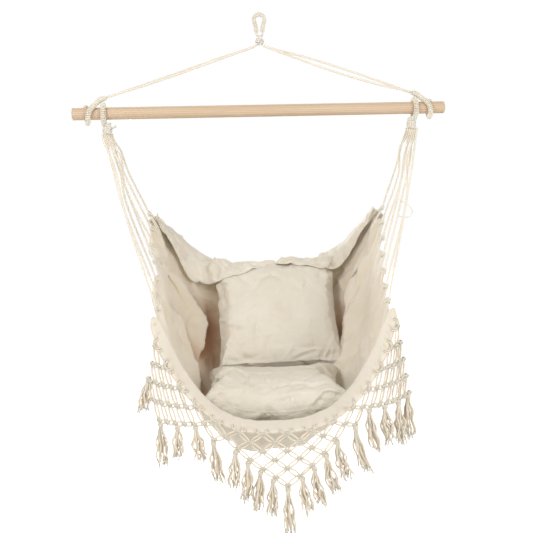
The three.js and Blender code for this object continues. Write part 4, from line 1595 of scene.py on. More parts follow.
@dataclass
class SeatLoops:
    """The whipped loops that carry the seat on the bar, each with its bound neck."""

    bar_length: float = 1.0
    bar_radius: float = 0.016
    bar_drop: float = 0.246
    inset: float = 0.082
    gap: float = 0.00035
    neck_drop: float = 0.053
    neck_height: float = 0.019
    neck_radius: float = 0.0132
    neck_lean: float = 0.009
    binding_cord: float = 0.0017
    upper_rise: float = 0.0105
    upper_radius: float = 0.0108
    upper_height: float = 0.011
    upper_wide: float = 1.4
    bare: float = 0.0045
    tuft_strands: int = 9
    tuft_radius: float = 0.0009
    tuft_from: tuple = (0.011, -0.005, -0.008)
    tuft_way: tuple = (0.8, -0.5, 0.55)
    rope: WhippedRope = field(default_factory=WhippedRope)

    def neck_end(self, sign: float) -> Array:
        """The foot of a neck, where the seat cords leave it."""
        return np.array([sign * (self.bar_length / 2 - self.inset - self.neck_lean), 0.0,
                         -self.bar_drop - self.neck_drop])

    def build(self, patterns: Patterns, finishes: Finishes) -> list[Thing]:
        """Builds both loops.

        Args:
            patterns: the Geometry Nodes trees.
            finishes: the materials.

        Returns:
            The pieces.
        """
        made = []
        for name, sign in SIDES:
            x = sign * (self.bar_length / 2 - self.inset)
            opening = 2 * (self.bar_radius + self.gap)
            legs = self.neck_drop - self.neck_height - self.bar_radius
            flat = drop_loop(opening, opening + legs / 2, self.rope.outer, legs / 2)
            lean = self.neck_lean * ease((-flat[:, 2] - opening) / (self.neck_drop
                                                                    - self.bar_radius))
            top = -self.bar_drop + self.bar_radius + self.gap
            points = np.stack([x - sign * lean, flat[:, 0], flat[:, 2] + top], axis=1)
            path = curved(points, 110)
            core = Skin()
            core.tube(path, self.rope.core_radius, 12)
            foot = np.array([x - sign * self.neck_lean, 0.0,
                             -self.bar_drop - self.neck_drop + self.neck_height])
            wraps(core, foot, self.neck_radius, self.binding_cord, self.neck_height, turned=True)
            wraps(core, foot + UP * self.upper_rise, self.upper_radius, self.binding_cord,
                  self.upper_height, self.upper_wide, turned=True)
            core.tube(np.array([foot, foot - UP * (self.neck_height - 0.001)]),
                      self.neck_radius - 0.002, 20)
            if name == "left":
                self._tuft(core, foot)
            body = core.piece(f"seat_loop_rope_{name}", finishes[Finish.WHIPPING])
            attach(body, "seat")
            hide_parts(f"seat_loop_{name}")
            whip = self.rope.dress(f"seat_loop_cord_{name}", path, patterns, finishes,
                                   self.bare)
            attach(whip, "seat")
            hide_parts(f"seat_loop_whipping_{name}")
            made += [body, whip]
        return made

    def _tuft(self, skin: Skin, foot: Array) -> None:
        """The cut end of the binding cord, a short tuft beside the neck.

        Args:
            skin: the mesh that grows.
            foot: the top of the neck.
        """
        chance = np.random.default_rng(8)
        start = foot + np.array(self.tuft_from)
        for _ in range(self.tuft_strands):
            way = np.array(self.tuft_way) + chance.normal(0.0, 0.16, 3)
            skin.tube(np.array([start, start + way * 0.006, start + way * 0.014]),
                      self.tuft_radius, 5)


# The cloth seat


@dataclass(frozen=True)
class SlingShape:
    """The hanging surface of the sling: u from the left edge to the right, v from the rim to
    the front. Its numbers are the solid's, but for extra_notch and fold_depth."""

    half_spans: tuple = (0.345, 0.325, 0.306, 0.296)
    side_ys: tuple = (0.233, 0.075, -0.1, -0.258)
    side_zs: tuple = (-0.506, -0.594, -0.682, -0.75)
    middle_ys: tuple = (0.3, 0.246, 0.152, 0.02, -0.122, -0.236, -0.318)
    middle_zs: tuple = (-0.724, -0.862, -1.004, -1.082, -1.102, -1.08, -1.02)
    sag_powers: tuple = (2.6, 3.4, 2.9)
    shift_x: float = 0.014
    shift_y: float = -0.013
    skew: float = 0.08
    tabs: int = 7
    notch: float = 0.024
    extra_notch: float = 0.014
    fold_depth: float = 0.009
    fold_reach: float = 0.24
    tab_rate: float = 3.0
    end_fade: float = 0.1
    inner: float = 0.05

    def smooth(self, u: Array, v: Array) -> Array:
        """The surface without its tabs and folds.

        Args:
            u: places from the left edge to the right, from 0 to 1.
            v: places from the rim to the front, from 0 to 1.

        Returns:
            The points.
        """
        u, v = np.broadcast_arrays(np.asarray(u, float), np.asarray(v, float))
        half, y, z = (through(values, v) for values in
                      (self.half_spans, self.side_ys, self.side_zs))
        back, seat, fore = self.sag_powers
        power = np.where(v < 0.5, mix(back, seat, ease(v / 0.5)),
                         mix(seat, fore, ease((v - 0.5) / 0.5)))
        depth = 1 - np.abs(2 * u - 1) ** power
        y = y + (through(self.middle_ys, v) - y) * depth
        z = z + (through(self.middle_zs, v) - z) * depth
        x = mix(-half, half, u) + self.shift_x + self.skew * y
        return np.stack([x, y + self.shift_y, z], axis=-1)

    def normal(self, u: Array, v: Array) -> Array:
        """The way out of the cloth, down and away from the sitter.

        Args:
            u: places from the left edge to the right, from 0 to 1.
            v: places from the rim to the front, from 0 to 1.

        Returns:
            The ways, each of length one.
        """
        step = 1e-3
        along_u = self.smooth(np.minimum(1, u + step), v) - self.smooth(np.maximum(0, u - step), v)
        along_v = self.smooth(u, np.minimum(1, v + step)) - self.smooth(u, np.maximum(0, v - step))
        return unit(np.cross(along_u, along_v))

    def point(self, u: Array, v: Array) -> Array:
        """The surface with its tabs and the folds that run in from them.

        Args:
            u: places from the left edge to the right, from 0 to 1.
            v: places from the rim to the front, from 0 to 1.

        Returns:
            The points.
        """
        u, v = np.broadcast_arrays(np.asarray(u, float), np.asarray(v, float))
        base = self.smooth(u, v)
        in_tab = (v * self.tabs) % 1
        notch = 1 - ease(np.minimum(in_tab, 1 - in_tab) * self.tab_rate)
        fade = np.maximum(0, 1 - np.minimum(u, 1 - u) / self.fold_reach) ** 2
        inner = self.smooth(mix(u, 0.5, self.inner), v)
        middle = ease(v / self.end_fade) * ease((1 - v) / self.end_fade)
        depth = self.notch + self.extra_notch * middle
        drawn = unit(inner - base) * (depth * notch * fade)[..., None]
        fold = self.normal(u, v) * (self.fold_depth * (notch - 0.5) * fade)[..., None]
        return base + drawn + fold


SLING = SlingShape()


@dataclass
class SeatCords:
    """Seven cords on each side, from the neck to the tabs of the sling."""

    radius: float = 0.0027
    pitch: float = 0.0066
    spacing: float = 0.0042
    reach: float = 0.009
    drop: float = 0.007
    lead: float = 0.022
    bow: float = 0.007
    gap: float = 0.00035
    fan: float = 0.008
    fans: tuple[float, ...] = (0.2, -0.9, 0.9, -0.3, 1.0, -0.7, 0.5)
    fan_share: float = 0.2
    middle_share: float = 0.45
    loops: SeatLoops = field(default_factory=SeatLoops)

    def route(self, sign: float, index: int) -> Array:
        """The points that one cord follows.

        Args:
            sign: -1 for the left side, 1 for the right.
            index: the tab's number, from the rim.

        Returns:
            The points, from the neck to the tab.
        """
        bow = self.bow * (1 + index % 3) / 2
        order = (SLING.tabs - 1) / 2 - index
        start = self.loops.neck_end(sign) + np.array([
            -sign * order * self.spacing, order * self.pitch / 2, -self.gap])
        tab = SLING.point(np.array(0.0 if sign < 0 else 1.0),
                          np.array((index + 0.5) / SLING.tabs))
        along = unit(tab - start)
        drop = start - UP * self.drop
        lead = drop + (tab - drop) * self.lead / np.linalg.norm(tab - start)
        middle = start + (tab - start) * self.middle_share + np.array([sign * bow, 0.0, -bow / 2])
        fan = start + (tab - start) * self.fan_share
        fan[0] += self.fan * self.fans[index]
        return np.array([start, drop, lead, fan, middle, tab - along * self.lead,
                         tab + along * self.reach])

    def build(self, finishes: Finishes) -> list[Thing]:
        """Builds the cords.

        Args:
            finishes: the materials.

        Returns:
            The pieces.
        """
        made = []
        for name, sign in SIDES:
            for index in range(SLING.tabs):
                path = curved(self.route(sign, index), 70)
                skin = Skin()
                skin.tube(path, self.radius, 10)
                cord = skin.piece(f"seat_cord_rope_{name}_{index + 1}", finishes[Finish.CORD])
                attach(cord, "seat")
                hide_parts(f"seat_cord_{name}_{index + 1}")
                made.append(cord)
        return made


@dataclass
class SlackLoop:
    """A loose end of cord that stands out from the right cords in a small loop."""

    radius: float = 0.0014
    forward: float = -0.055
    pixels: tuple[tuple[float, float], ...] = (
        (398, 199), (402, 201), (408, 205), (412, 210), (412, 214), (408, 217), (403, 217),
        (399, 216))

    def build(self, finishes: Finishes) -> list[Thing]:
        """Builds the loop.

        Args:
            finishes: the materials.

        Returns:
            The pieces.
        """
        path = curved([CAMERA.at_depth(x, y, self.forward) for x, y in self.pixels], 40)
        skin = Skin()
        skin.tube(path, self.radius, 8)
        loop = skin.piece("slack_loop", finishes[Finish.CORD])
        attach(loop, "seat")
        return [loop]


@dataclass
class TabTies:
    """The turns of cord that bind each seat cord where it goes into its tab."""

    cord_radius: float = 0.0015
    reach: float = 0.0042
    turns: int = 4
    back: float = 0.012
    loop_radius: float = 0.0016
    loop_back: float = 0.008
    loop_in: float = 0.011
    loop_down: float = 0.004
    loop_half: float = 0.0055
    cords: SeatCords = field(default_factory=SeatCords)

    def build(self, finishes: Finishes) -> list[Thing]:
        """Builds the ties of each side as one piece.

        Args:
            finishes: the materials.

        Returns:
            The pieces.
        """
        made = []
        for name, sign in SIDES:
            skin = Skin()
            for index in range(SLING.tabs):
                path = curved(self.cords.route(sign, index), 70)
                end, way = path[-1], unit(path[-1] - path[-8])
                self._bind(skin, end - way * self.back, way)
                self._loop(skin, end, way, sign)
            ties = skin.piece(f"tab_ties_{name}", finishes[Finish.CORD])
            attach(ties, "seat")
            made.append(ties)
        return made

    def _bind(self, skin: Skin, start: Array, way: Array) -> None:
        """Close turns round a cord.

        Args:
            skin: the mesh that grows.
            start: where the turns start.
            way: the way along it.
        """
        angle = np.linspace(0.0, 2 * np.pi * self.turns, 12 * self.turns)
        aside = unit(np.cross(way, [0.0, 1.0, 0.0]))
        up = np.cross(way, aside)
        run = angle / (2 * np.pi) * 2.05 * self.cord_radius
        path = start + (self.reach * (np.cos(angle)[:, None] * aside + np.sin(angle)[:, None] * up)
                        + run[:, None] * way)
        skin.tube(path, self.cord_radius, 6)

    def _loop(self, skin: Skin, end: Array, way: Array, sign: float) -> None:
        """The cord's last turn through the edge of the cloth.

        Args:
            skin: the mesh that grows.
            end: where the cord ends.
            way: the way along it.
            sign: -1 for the left side, 1 for the right.
        """
        inward = np.array([-sign * self.loop_in, 0.0, -self.loop_down])
        angle = np.linspace(0.0, 2 * np.pi, 20)
        path = (end - way * self.loop_back + inward / 2 + np.cos(angle)[:, None] * inward / 2
                + np.sin(angle)[:, None] * np.array([0.0, self.loop_half, 0.0]))
        skin.tube(path, self.loop_radius, 6)


@dataclass
class Sling:
    """The cloth sling with its scalloped tabs."""

    thickness: float = 0.002
    columns: int = 236
    rows: int = 168
    seed: int = 12
    crumple: Crumple = Crumple(500, (0.025, 0.09), (0.005, 0.013), (-0.0075, 0.0095))
    ripple: float = 0.0034
    drawn: float = 0.0055
    gathered: float = 0.17
    curl: float = 0.02
    curl_reach: float = 0.05
    curls: tuple[float, ...] = (0.0, -1.0, 0.6, -0.9, -1.0, 0.7, -0.8, 0.0)
    right_curl: float = 0.9
    belly: float = 0.026
    belly_place: tuple[float, float] = (0.42, 0.83)
    belly_reach: tuple[float, float] = (0.24, 0.085)
    # The painted warm shade behind the panels deepens below lee_top over lee_fade, from least_lee;
    # lee_top also gives the middle's height.
    lee_top: float = -0.72
    lee_fade: float = 0.17
    least_lee: float = 0.12
    spare: tuple[float, float] = (1.08, 1.04)
    cut: tuple[float, float, float] = (0.0, 0.0, 0.0)
    panels: tuple[Overlap, ...] = (
        Overlap(((149, 236), (160, 259), (168, 274), (177, 290), (191, 307), (202, 319),
                 (201, 334), (198, 347)), 0.024, 0.04, 0.006, -1.0, 1.0),
        Overlap(((168, 306), (176, 320), (182, 343), (188, 358), (193, 371), (195, 384)), 0.02,
                0.03, 0.006, -1.0, 1.0),
        Overlap(((372, 250), (362, 270), (356, 290), (352, 318), (348, 345), (340, 372)), 0.03,
                0.055, 0.006, 1.0, 0.7),
    )
    creases: tuple[Crease, ...] = (
        Crease(((372, 230), (361, 254), (353, 278), (347, 302)), 0.009, 0.008, 0.7),
        Crease(((380, 232), (371, 254), (363, 278), (358, 300)), 0.008, 0.007, 0.8),
        Crease(((386, 262), (378, 272), (371, 290)), 0.008, 0.006, 0.8),
        Crease(((352, 318), (350, 340), (345, 368)), 0.006, 0.008, 0.6),
        Crease(((364, 335), (359, 352), (353, 376)), 0.003, 0.009, 0.6),
        Crease(((166, 314), (174, 330), (181, 352)), 0.003, 0.007, 0.6),
        Crease(((178, 262), (186, 275), (200, 300)), 0.002, 0.008, 0.6),
        Crease(((372, 290), (368, 305), (366, 320)), 0.003, 0.007, 0.6),
        Crease(((383, 296), (379, 312), (376, 326)), 0.003, 0.006, 0.6),
    )

    def build(self, finishes: Finishes) -> list[Thing]:
        """Builds the sheet, presses its folds in and gives it its thickness.

        Args:
            finishes: the materials.

        Returns:
            The pieces.
        """
        u, v = np.meshgrid(np.linspace(0, 1, self.columns + 1), np.linspace(0, 1, self.rows + 1),
                           indexing="ij")
        grid = SLING.point(u, v)
        out = SLING.normal(u, v)
        grid = grid + out * self._ripple(u, v)[..., None]
        across, along = runs(grid)
        skin = Skin()
        skin.grid(grid, np.stack([across, along], axis=-1))
        sling = skin.piece("cloth_sling", finishes[Finish.CANVAS])
        self._fold(sling, v.ravel())
        width = float(across[-1].mean())
        length = float(along[:, -1].mean())
        area = sum(face.area for face in sling.data.polygons)
        solid_skin(sling, self.thickness)
        self._inside_only(sling)
        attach(sling, "seat")
        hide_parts("seat_sling")
        log.info("sling cut %.3f by %.3f, area %.3f", width, length, area)
        self.cut = (width * self.spare[0], length * self.spare[1], area)
        return [sling]

    def _fold(self, sling: Thing, v: Array) -> None:
        """Presses the creases and stands the side panels forward, less so near the edges, and
        marks the painted warm shade behind them.

        Args:
            sling: the sling's object.
            v: places from the rim to the front, from 0 to 1.
        """
        points, inward = points_of(sling), -normals_of(sling)
        tree = tree_of(sling)
        moved = press(points, inward, tree, self.creases)
        held = ease((1 - v) / 0.1) * ease(v / 0.05)
        loose = crumpled(points, inward, np.random.default_rng(self.seed), self.crumple)
        moved += inward * (loose * held)[:, None]
        painted_warm_shade = np.zeros(len(points))
        for panel in self.panels:
            move, deep = stand_forward(points, inward, tree, panel)
            moved += move * held[:, None]
            painted_warm_shade = np.maximum(painted_warm_shade, deep * panel.side_share)
        place_points(sling, moved)
        # Painted warm shade: the mask behind each panel's step, stronger lower down, stored on the
        # mesh for the canvas colour.
        painted_warm_shade *= mix(self.least_lee, 1.0, ease((self.lee_top - points[:, 2]) / self.lee_fade))
        layer = sling.data.attributes.new("painted_warm_shade", "FLOAT", "POINT")
        layer.data.foreach_set("value", painted_warm_shade)

    def _inside_only(self, sling: Thing) -> None:
        """Takes the painted warm shade off the outer face of the cloth.

        Args:
            sling: the sling's object.
        """
        points, normals = points_of(sling), normals_of(sling)
        middle = np.array([SLING.shift_x, SLING.shift_y, self.lee_top])
        layer = sling.data.attributes["painted_warm_shade"]
        painted_warm_shade = np.empty(len(points))
        layer.data.foreach_get("value", painted_warm_shade)
        painted_warm_shade[((middle - points) * normals).sum(axis=1) < 0] = 0.0
        layer.data.foreach_set("value", painted_warm_shade)

    def _ripple(self, u: Array, v: Array) -> Array:
        """How far the cloth stands out of its smooth form.

        Fine ripples and drawn folds run in from the gathered sides, the edge curls between the
        tabs, and the belly sags behind the net.

        Args:
            u: places from the left edge to the right.
            v: places from the rim to the front.

        Returns:
            The distance out of the cloth at each place.
        """
        side = np.minimum(u, 1 - u)
        near = np.exp(-((side / self.gathered) ** 2))
        phase = np.where(u < 0.5, 0.0, 1.7)
        fine = (np.sin(v * 61 + 4 * side + phase) * 0.5
                + np.sin(v * 103 - 9 * side + 2.4 * phase) * 0.3)
        drawn = 0.6 - np.abs(np.sin(math.pi * SLING.tabs * v * 1.5 + 5 * side + phase))
        curls = np.array(self.curls)[np.round(v * SLING.tabs).astype(int)]
        turned = np.where(u < 0.5, curls, np.abs(curls) * -self.right_curl)
        notch = np.cos(math.pi * SLING.tabs * v) ** 2
        held = ease((1 - v) / 0.1) * ease(v / 0.08)
        curl = self.curl * turned * notch * held * np.exp(-((side / self.curl_reach) ** 2))
        from_u, from_v = u - self.belly_place[0], v - self.belly_place[1]
        belly = self.belly * np.exp(-((from_v / self.belly_reach[1]) ** 2)
                                    - (from_u / self.belly_reach[0]) ** 2)
        return self.ripple * near * fine + self.drawn * near * drawn + curl + belly


@dataclass
class HemShape:
    """The rolled band on the front edge, and the outer line that the net hangs from."""

    width: float = 0.05
    end_width: float = 0.024
    thickness: float = 0.013
    stand_off: float = 0.0001
    forward_share: float = 2.6
    side_share: float = 0.3

    def frames(self, u: Array) -> tuple[Array, Array, Array, Array, Array]:
        """The band at places along the edge.

        Args:
            u: places along the edge, from 0 to 1.

        Returns:
            Its middle, its ways outwards, forwards and along, and its width.
        """
        step = 1e-3
        one = np.ones_like(u)
        along = unit(SLING.smooth(np.minimum(1, u + step), one)
                     - SLING.smooth(np.maximum(0, u - step), one))
        flat = unit(along * np.array([1.0, 0.0, 1.0]))
        steep = (2 * u - 1) ** 2
        width = unit(np.stack([flat[:, 2], -mix(self.forward_share, self.side_share, steep),
                               -flat[:, 0]], axis=1))
        across = unit(np.cross(along, width))
        across = np.where(across[:, 1:2] > 0, -across, across)
        edge = SLING.smooth(u, one) + across * (self.stand_off + self.thickness / 2)
        reach = mix(self.width, self.end_width, np.abs(2 * u - 1) ** 8)
        centre = edge + width * ((reach - self.thickness) / 2)[:, None]
        return centre, width, across, along, reach


HEM = HemShape()


class HemLine:
    """Places on the hem's outer edge by their distance from its middle."""

    def __init__(self, stations: int = 240) -> None:
        """Measures the line.

        Args:
            stations: how many places are measured.
        """
        self.u = np.linspace(0.0, 1.0, stations)
        centre, self.width, self.across, _, reach = HEM.frames(self.u)
        self.points = centre + self.width * (reach / 2)[:, None]
        steps = np.linalg.norm(np.diff(self.points, axis=0), axis=1)
        self.lengths = np.concatenate([[0.0], np.cumsum(steps)])
        self.middle = self.lengths[-1] / 2
        self.along = unit(np.gradient(self.points, axis=0))

    def at(self, distance: float) -> tuple[Array, Array, Array, Array]:
        """The point and its ways along, outwards and forwards.

        Args:
            distance: how far to the right of its middle.

        Returns:
            That point and its ways.
        """
        length = float(np.clip(self.middle + distance, 0.0, self.lengths[-1]))
        over = self.middle + distance - length
        read = [np.array([np.interp(length, self.lengths, rows[:, axis]) for axis in range(3)])
                for rows in (self.points, self.along, self.width, self.across)]
        return read[0] + unit(read[1]) * over, unit(read[1]), unit(read[2]), unit(read[3])


@dataclass
class FrontHem:
    """The rolled and stitched band along the front of the sling."""

    stations: int = 220
    sides: int = 24
    blunt: float = 0.6
    end_share: float = 0.972
    seed: int = 17
    crumple: Crumple = Crumple(130, (0.012, 0.03), (0.003, 0.006), (-0.0022, 0.0016))
    edge_thinning: float = 0.28
    waver: float = 0.05
    narrowing: float = 0.02
    stitch_sizes: tuple = (("Length", 0.0115), ("Bow", 0.0042), ("Thread radius", 0.00075))
    end_margin: float = 0.02
    stitched_from: float = 0.12
    stitched_to: float = -0.2
    right_stitches: tuple[float, float, float] = (0.0176, 0.012, -0.25)
    left_stitches: tuple[float, float, float] = (0.0235, 0.011, 0.2)
    stitch_lift: float = -0.0006

    def build(self, patterns: Patterns, finishes: Finishes) -> list[Thing]:
        """Builds the band, drawn in a little where the net pulls at it.

        Args:
            patterns: the Geometry Nodes trees.
            finishes: the materials.

        Returns:
            The pieces.
        """
        u = np.linspace(0.0, 1.0, self.stations)
        centre, width, across, _, reach = HEM.frames(u)
        line = HemLine()
        run = np.interp(u, line.u, line.lengths) - line.middle
        pull = 0.5 + 0.5 * np.cos(2 * np.pi * (run - NET.shift) / (2 * NET.half_pitch))
        chance = np.random.default_rng(4)
        waver = through(chance.normal(0.0, 1.0, 40), u)
        angles = -2 * np.pi * np.arange(self.sides) / self.sides
        blunt = [np.sign(f(angles)) * np.abs(f(angles)) ** self.blunt for f in (np.cos, np.sin)]
        outer = np.maximum(0, np.cos(angles)) ** 2
        rings = []
        for index in range(self.stations):
            thin = HEM.thickness / 2 * (1 - self.edge_thinning * outer
                                        * (0.35 + 0.65 * pull[index]))
            thin = thin * (1 + self.waver * waver[index])
            half = reach[index] / 2 * (1 - self.narrowing * pull[index])
            beyond = max(0.0, (abs(2 * u[index] - 1) - self.end_share) / (1 - self.end_share))
            close = math.sqrt(max(0.04, 1 - beyond ** 2))
            half, thin = half * close, thin * close
            rings.append(centre[index] + half * blunt[0][:, None] * width[index]
                         + (thin * blunt[1])[:, None] * across[index])
        skin = Skin()
        rings = np.array(rings)
        skin.rings(rings, rings[[0, -1]].mean(axis=1), np.arange(self.stations) / self.stations)
        hem = skin.piece("rolled_hem", finishes[Finish.CANVAS])
        points, normals = points_of(hem), normals_of(hem)
        loose = crumpled(points, normals, np.random.default_rng(self.seed), self.crumple)
        place_points(hem, points + normals * loose[:, None])
        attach(hem, "seat")
        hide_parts("front_hem")
        stitches = self._stitches(line, patterns, finishes)
        return [hem, stitches]

    def _stitches(self, line: HemLine, patterns: Patterns, finishes: Finishes) -> Thing:
        """Sewing along the band's two sides: close at the right and wider at the left.

        Args:
            line: the hem's outer edge.
            patterns: the Geometry Nodes trees.
            finishes: the materials.

        Returns:
            The stitches.
        """
        places, ways, faces = [], [], []

        def put(distance: float, inwards: float, turned: float) -> None:
            """Marks one stitch by its place, how far in it lies and how it slants.

            Args:
                distance: its place along the band.
                inwards: how far in it lies.
                turned: how much it slants.
            """
            point, along, width, forward = line.at(distance)
            places.append(point - width * inwards
                          + forward * (HEM.thickness / 2 + self.stitch_lift))
            ways.append(unit(width + along * turned))
            faces.append(forward)

        end = line.middle - self.end_margin
        for first, last, (apart, inwards, turned) in (
                (self.stitched_from, end, self.right_stitches),
                (-end, self.stitched_to, self.left_stitches)):
            for distance in np.arange(first, last, apart):
                put(float(distance), inwards, turned)
        made = grown("hem_stitches", marked_points("hem_places", places, way=ways, face=faces),
                     patterns.stitches, {**dict(self.stitch_sizes), "Seed": 3,
                                         "Material": finishes[Finish.THREAD]})
        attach(made, "seat")
        return made


@dataclass
class BackCollar:
    """The cloth flap that folds over the rim and hangs inside."""

    thickness: float = 0.0022
    roll: float = 0.0055
    corner_roll: float = 0.012
    corner_reach: float = 0.045
    roll_steps: int = 6
    roll_height: float = 1.6
    ends: tuple[float, float] = (0.012, 0.988)
    drops: tuple = (0.084, 0.102, 0.102, 0.093, 0.066, 0.032, 0.018, 0.036, 0.07, 0.082, 0.074,
                    0.06)
    bulge: float = 0.008
    lifted_edge: float = 0.003
    wave: float = 0.0052
    wave_start: float = 0.3
    waves: tuple = ((1.0, 47, 1.2), (0.6, 89, 2.0))
    corner_close: float = 0.4
    corner_fade: float = 0.12
    seed: int = 5
    crumple: Crumple = Crumple(210, (0.015, 0.06), (0.004, 0.009), (-0.009, 0.009))
    lay_way: tuple = (0.0, -0.75, 0.66)
    lay_reach: float = 0.2
    lay_gap: float = 0.003
    columns: int = 170
    rows: int = 22
    creases: tuple[Crease, ...] = (
        Crease(((176, 224), (184, 236), (189, 252)), 0.007, 0.005, 0.8),
        Crease(((190, 236), (198, 246), (202, 264)), 0.006, 0.005, 0.8),
        Crease(((205, 248), (212, 262), (210, 274)), 0.006, 0.005, 0.8),
        Crease(((217, 262), (222, 270), (219, 279)), 0.006, 0.005, 0.8),
        Crease(((236, 264), (243, 270), (246, 277)), 0.005, 0.005, 0.8),
        Crease(((256, 266), (262, 270), (264, 274)), 0.004, 0.005, 0.7),
        Crease(((163, 214), (172, 221), (176, 230)), 0.006, 0.005, 0.8),
        Crease(((348, 248), (352, 255), (351, 262)), 0.006, 0.005, 0.8),
        Crease(((366, 230), (361, 238), (358, 246)), 0.005, 0.005, 0.8),
    )

    def build(self, finishes: Finishes, cushion: Thing) -> list[Thing]:
        """Builds the flap and lays it over the cushion where it reaches it.

        Args:
            finishes: the materials.
            cushion: the back cushion, which it lies over.

        Returns:
            The pieces.
        """
        u = np.linspace(*self.ends, self.columns)[:, None]
        zero = np.zeros_like(u)
        rim = SLING.point(u, zero)
        out = SLING.normal(u, zero)
        deeper = SLING.point(u, zero + 0.01)
        up = -unit(deeper - rim)
        rim_length = np.linalg.norm(SLING.smooth(0.5, 0.0) - SLING.smooth(0.5, 1 / 7))
        rows = []
        side = np.minimum(u, 1 - u)
        roll = self.roll + self.corner_roll * np.exp(-((side / self.corner_reach) ** 2))
        for angle in np.linspace(-0.5, math.pi, self.roll_steps + 1)[:-1]:
            rows.append(rim + roll * (math.cos(angle) * out
                                      + math.sin(angle) * up * self.roll_height))
        drop = through(self.drops, u)
        for part in np.linspace(0.0, 1.0, self.rows):
            v = drop * part / rim_length / SLING.tabs
            place = SLING.point(u, v)
            inward = -SLING.normal(u, v)
            bulge = self.bulge * np.sin(np.pi * part) ** 0.7 + self.lifted_edge * part ** 6
            wave = sum(size * np.sin(u * rate + phase) for size, rate, phase in self.waves)
            wave = self.wave * (self.wave_start + part) * wave
            close = mix(self.corner_close, 1.0, ease(side / self.corner_fade))
            rows.append(place + inward * (roll + (bulge + np.abs(wave)) * close))
        grid = np.stack([row[:, 0, :] for row in rows], axis=1)
        grid = self._over(grid, cushion)
        across, along = runs(grid)
        skin = Skin()
        skin.grid(grid, np.stack([across, along], axis=-1))
        collar = skin.piece("folded_collar", finishes[Finish.CANVAS])
        points, normals = points_of(collar), normals_of(collar)
        points = press(points, normals, tree_of(collar), self.creases)
        loose = crumpled(points, normals, np.random.default_rng(self.seed), self.crumple)
        place_points(collar, points + normals * loose[:, None])
        solid_skin(collar, self.thickness)
        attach(collar, "seat")
        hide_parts("back_collar")
        return [collar]

    def _over(self, grid: Array, cushion: Thing) -> Array:
        """Lays the flap over the cushion like a tent where the two would meet.

        Args:
            grid: the flap's points, from the rim down.
            cushion: the cushion behind it.

        Returns:
            The points, moved towards the sitter as far as they need.
        """
        tree = tree_of(cushion)
        way = unit(np.array(self.lay_way))
        needed = np.zeros(grid.shape[:2])
        for i, j in np.ndindex(needed.shape):
            far = Vector(grid[i, j] + way * self.lay_reach)
            hit = tree.ray_cast(far, Vector(-way), self.lay_reach + self.lay_gap)[0]
            if hit is not None:
                needed[i, j] = max(0.0, (np.array(hit) - grid[i, j]) @ way + self.lay_gap)
        lift = needed.copy()
        for _ in range(200):
            near = np.pad(lift, 1, mode="edge")
            mean = (near[:-2, 1:-1] + near[2:, 1:-1] + near[1:-1, :-2] + near[1:-1, 2:]) / 4
            lift = np.maximum(needed, mean)
            lift[:, :self.roll_steps] = needed[:, :self.roll_steps]
        return grid + lift[..., None] * way


@dataclass
class NetShape:
    """The rule of the knotted net: columns in half steps from its middle, rows from the hem."""

    half_columns: int = 14
    half_pitch: float = 0.0295
    row_drop: float = 0.0215
    rows: int = 2
    points: tuple = ((-12, 6), (0, 6), (14, 8))
    shift: float = 0.014
    hang: float = 0.00015
    knot_half: float = 0.0034
    knot_depth: float = 0.0036
    outward: float = 0.16

    def depth(self, column: int) -> int:
        """The last row of a column."""
        return max(self.rows - abs(column) % 2,
                   *(rows - abs(column - middle) for middle, rows in self.points))

    def has(self, column: int, row: int) -> bool:
        """Whether the net has a knot there."""
        inside = abs(column) <= self.half_columns and 0 <= row <= self.depth(column)
        return inside and (abs(column) + row) % 2 == 0

    def _centre(self, line: HemLine, column: int, row: int) -> Array:
        """A crossing before it is hung clear of the hem.

        Args:
            line: the hem's outer edge.
            column: its column, in half steps from the middle.
            row: its row, from the hem.

        Returns:
            The place.
        """
        point, along, _, _ = line.at(self.shift + column * self.half_pitch)
        outward = np.array([along[2], 0.0, -along[0]]) * self.outward
        down = unit(np.array([0.0, 0.0, self.outward - 1]) + outward)
        return point + down * row * self.row_drop

    def place(self, line: HemLine, column: int, row: int) -> tuple[Array, Array, Array, Array]:
        """A knot's middle, its ways to the lower right and lower left, and through the net.

        Args:
            line: the hem's outer edge.
            column: its column, in half steps from the middle.
            row: its row, from the hem.

        Returns:
            The middle and the three ways.
        """
        right = unit(self._centre(line, column + 1, row + 1)
                     - self._centre(line, column - 1, row - 1))
        left = unit(self._centre(line, column - 1, row + 1)
                    - self._centre(line, column + 1, row - 1))
        across = unit(np.cross(right, left))
        _, _, width, _ = line.at(self.shift + column * self.half_pitch)
        flat = self.knot_half * (abs(right.dot(width)) + abs(left.dot(width)))
        thick = self.knot_depth * abs(across.dot(width))
        centre = self._centre(line, column, row) + width * (self.hang + flat + thick)
        return centre, right, left, across


NET = NetShape()


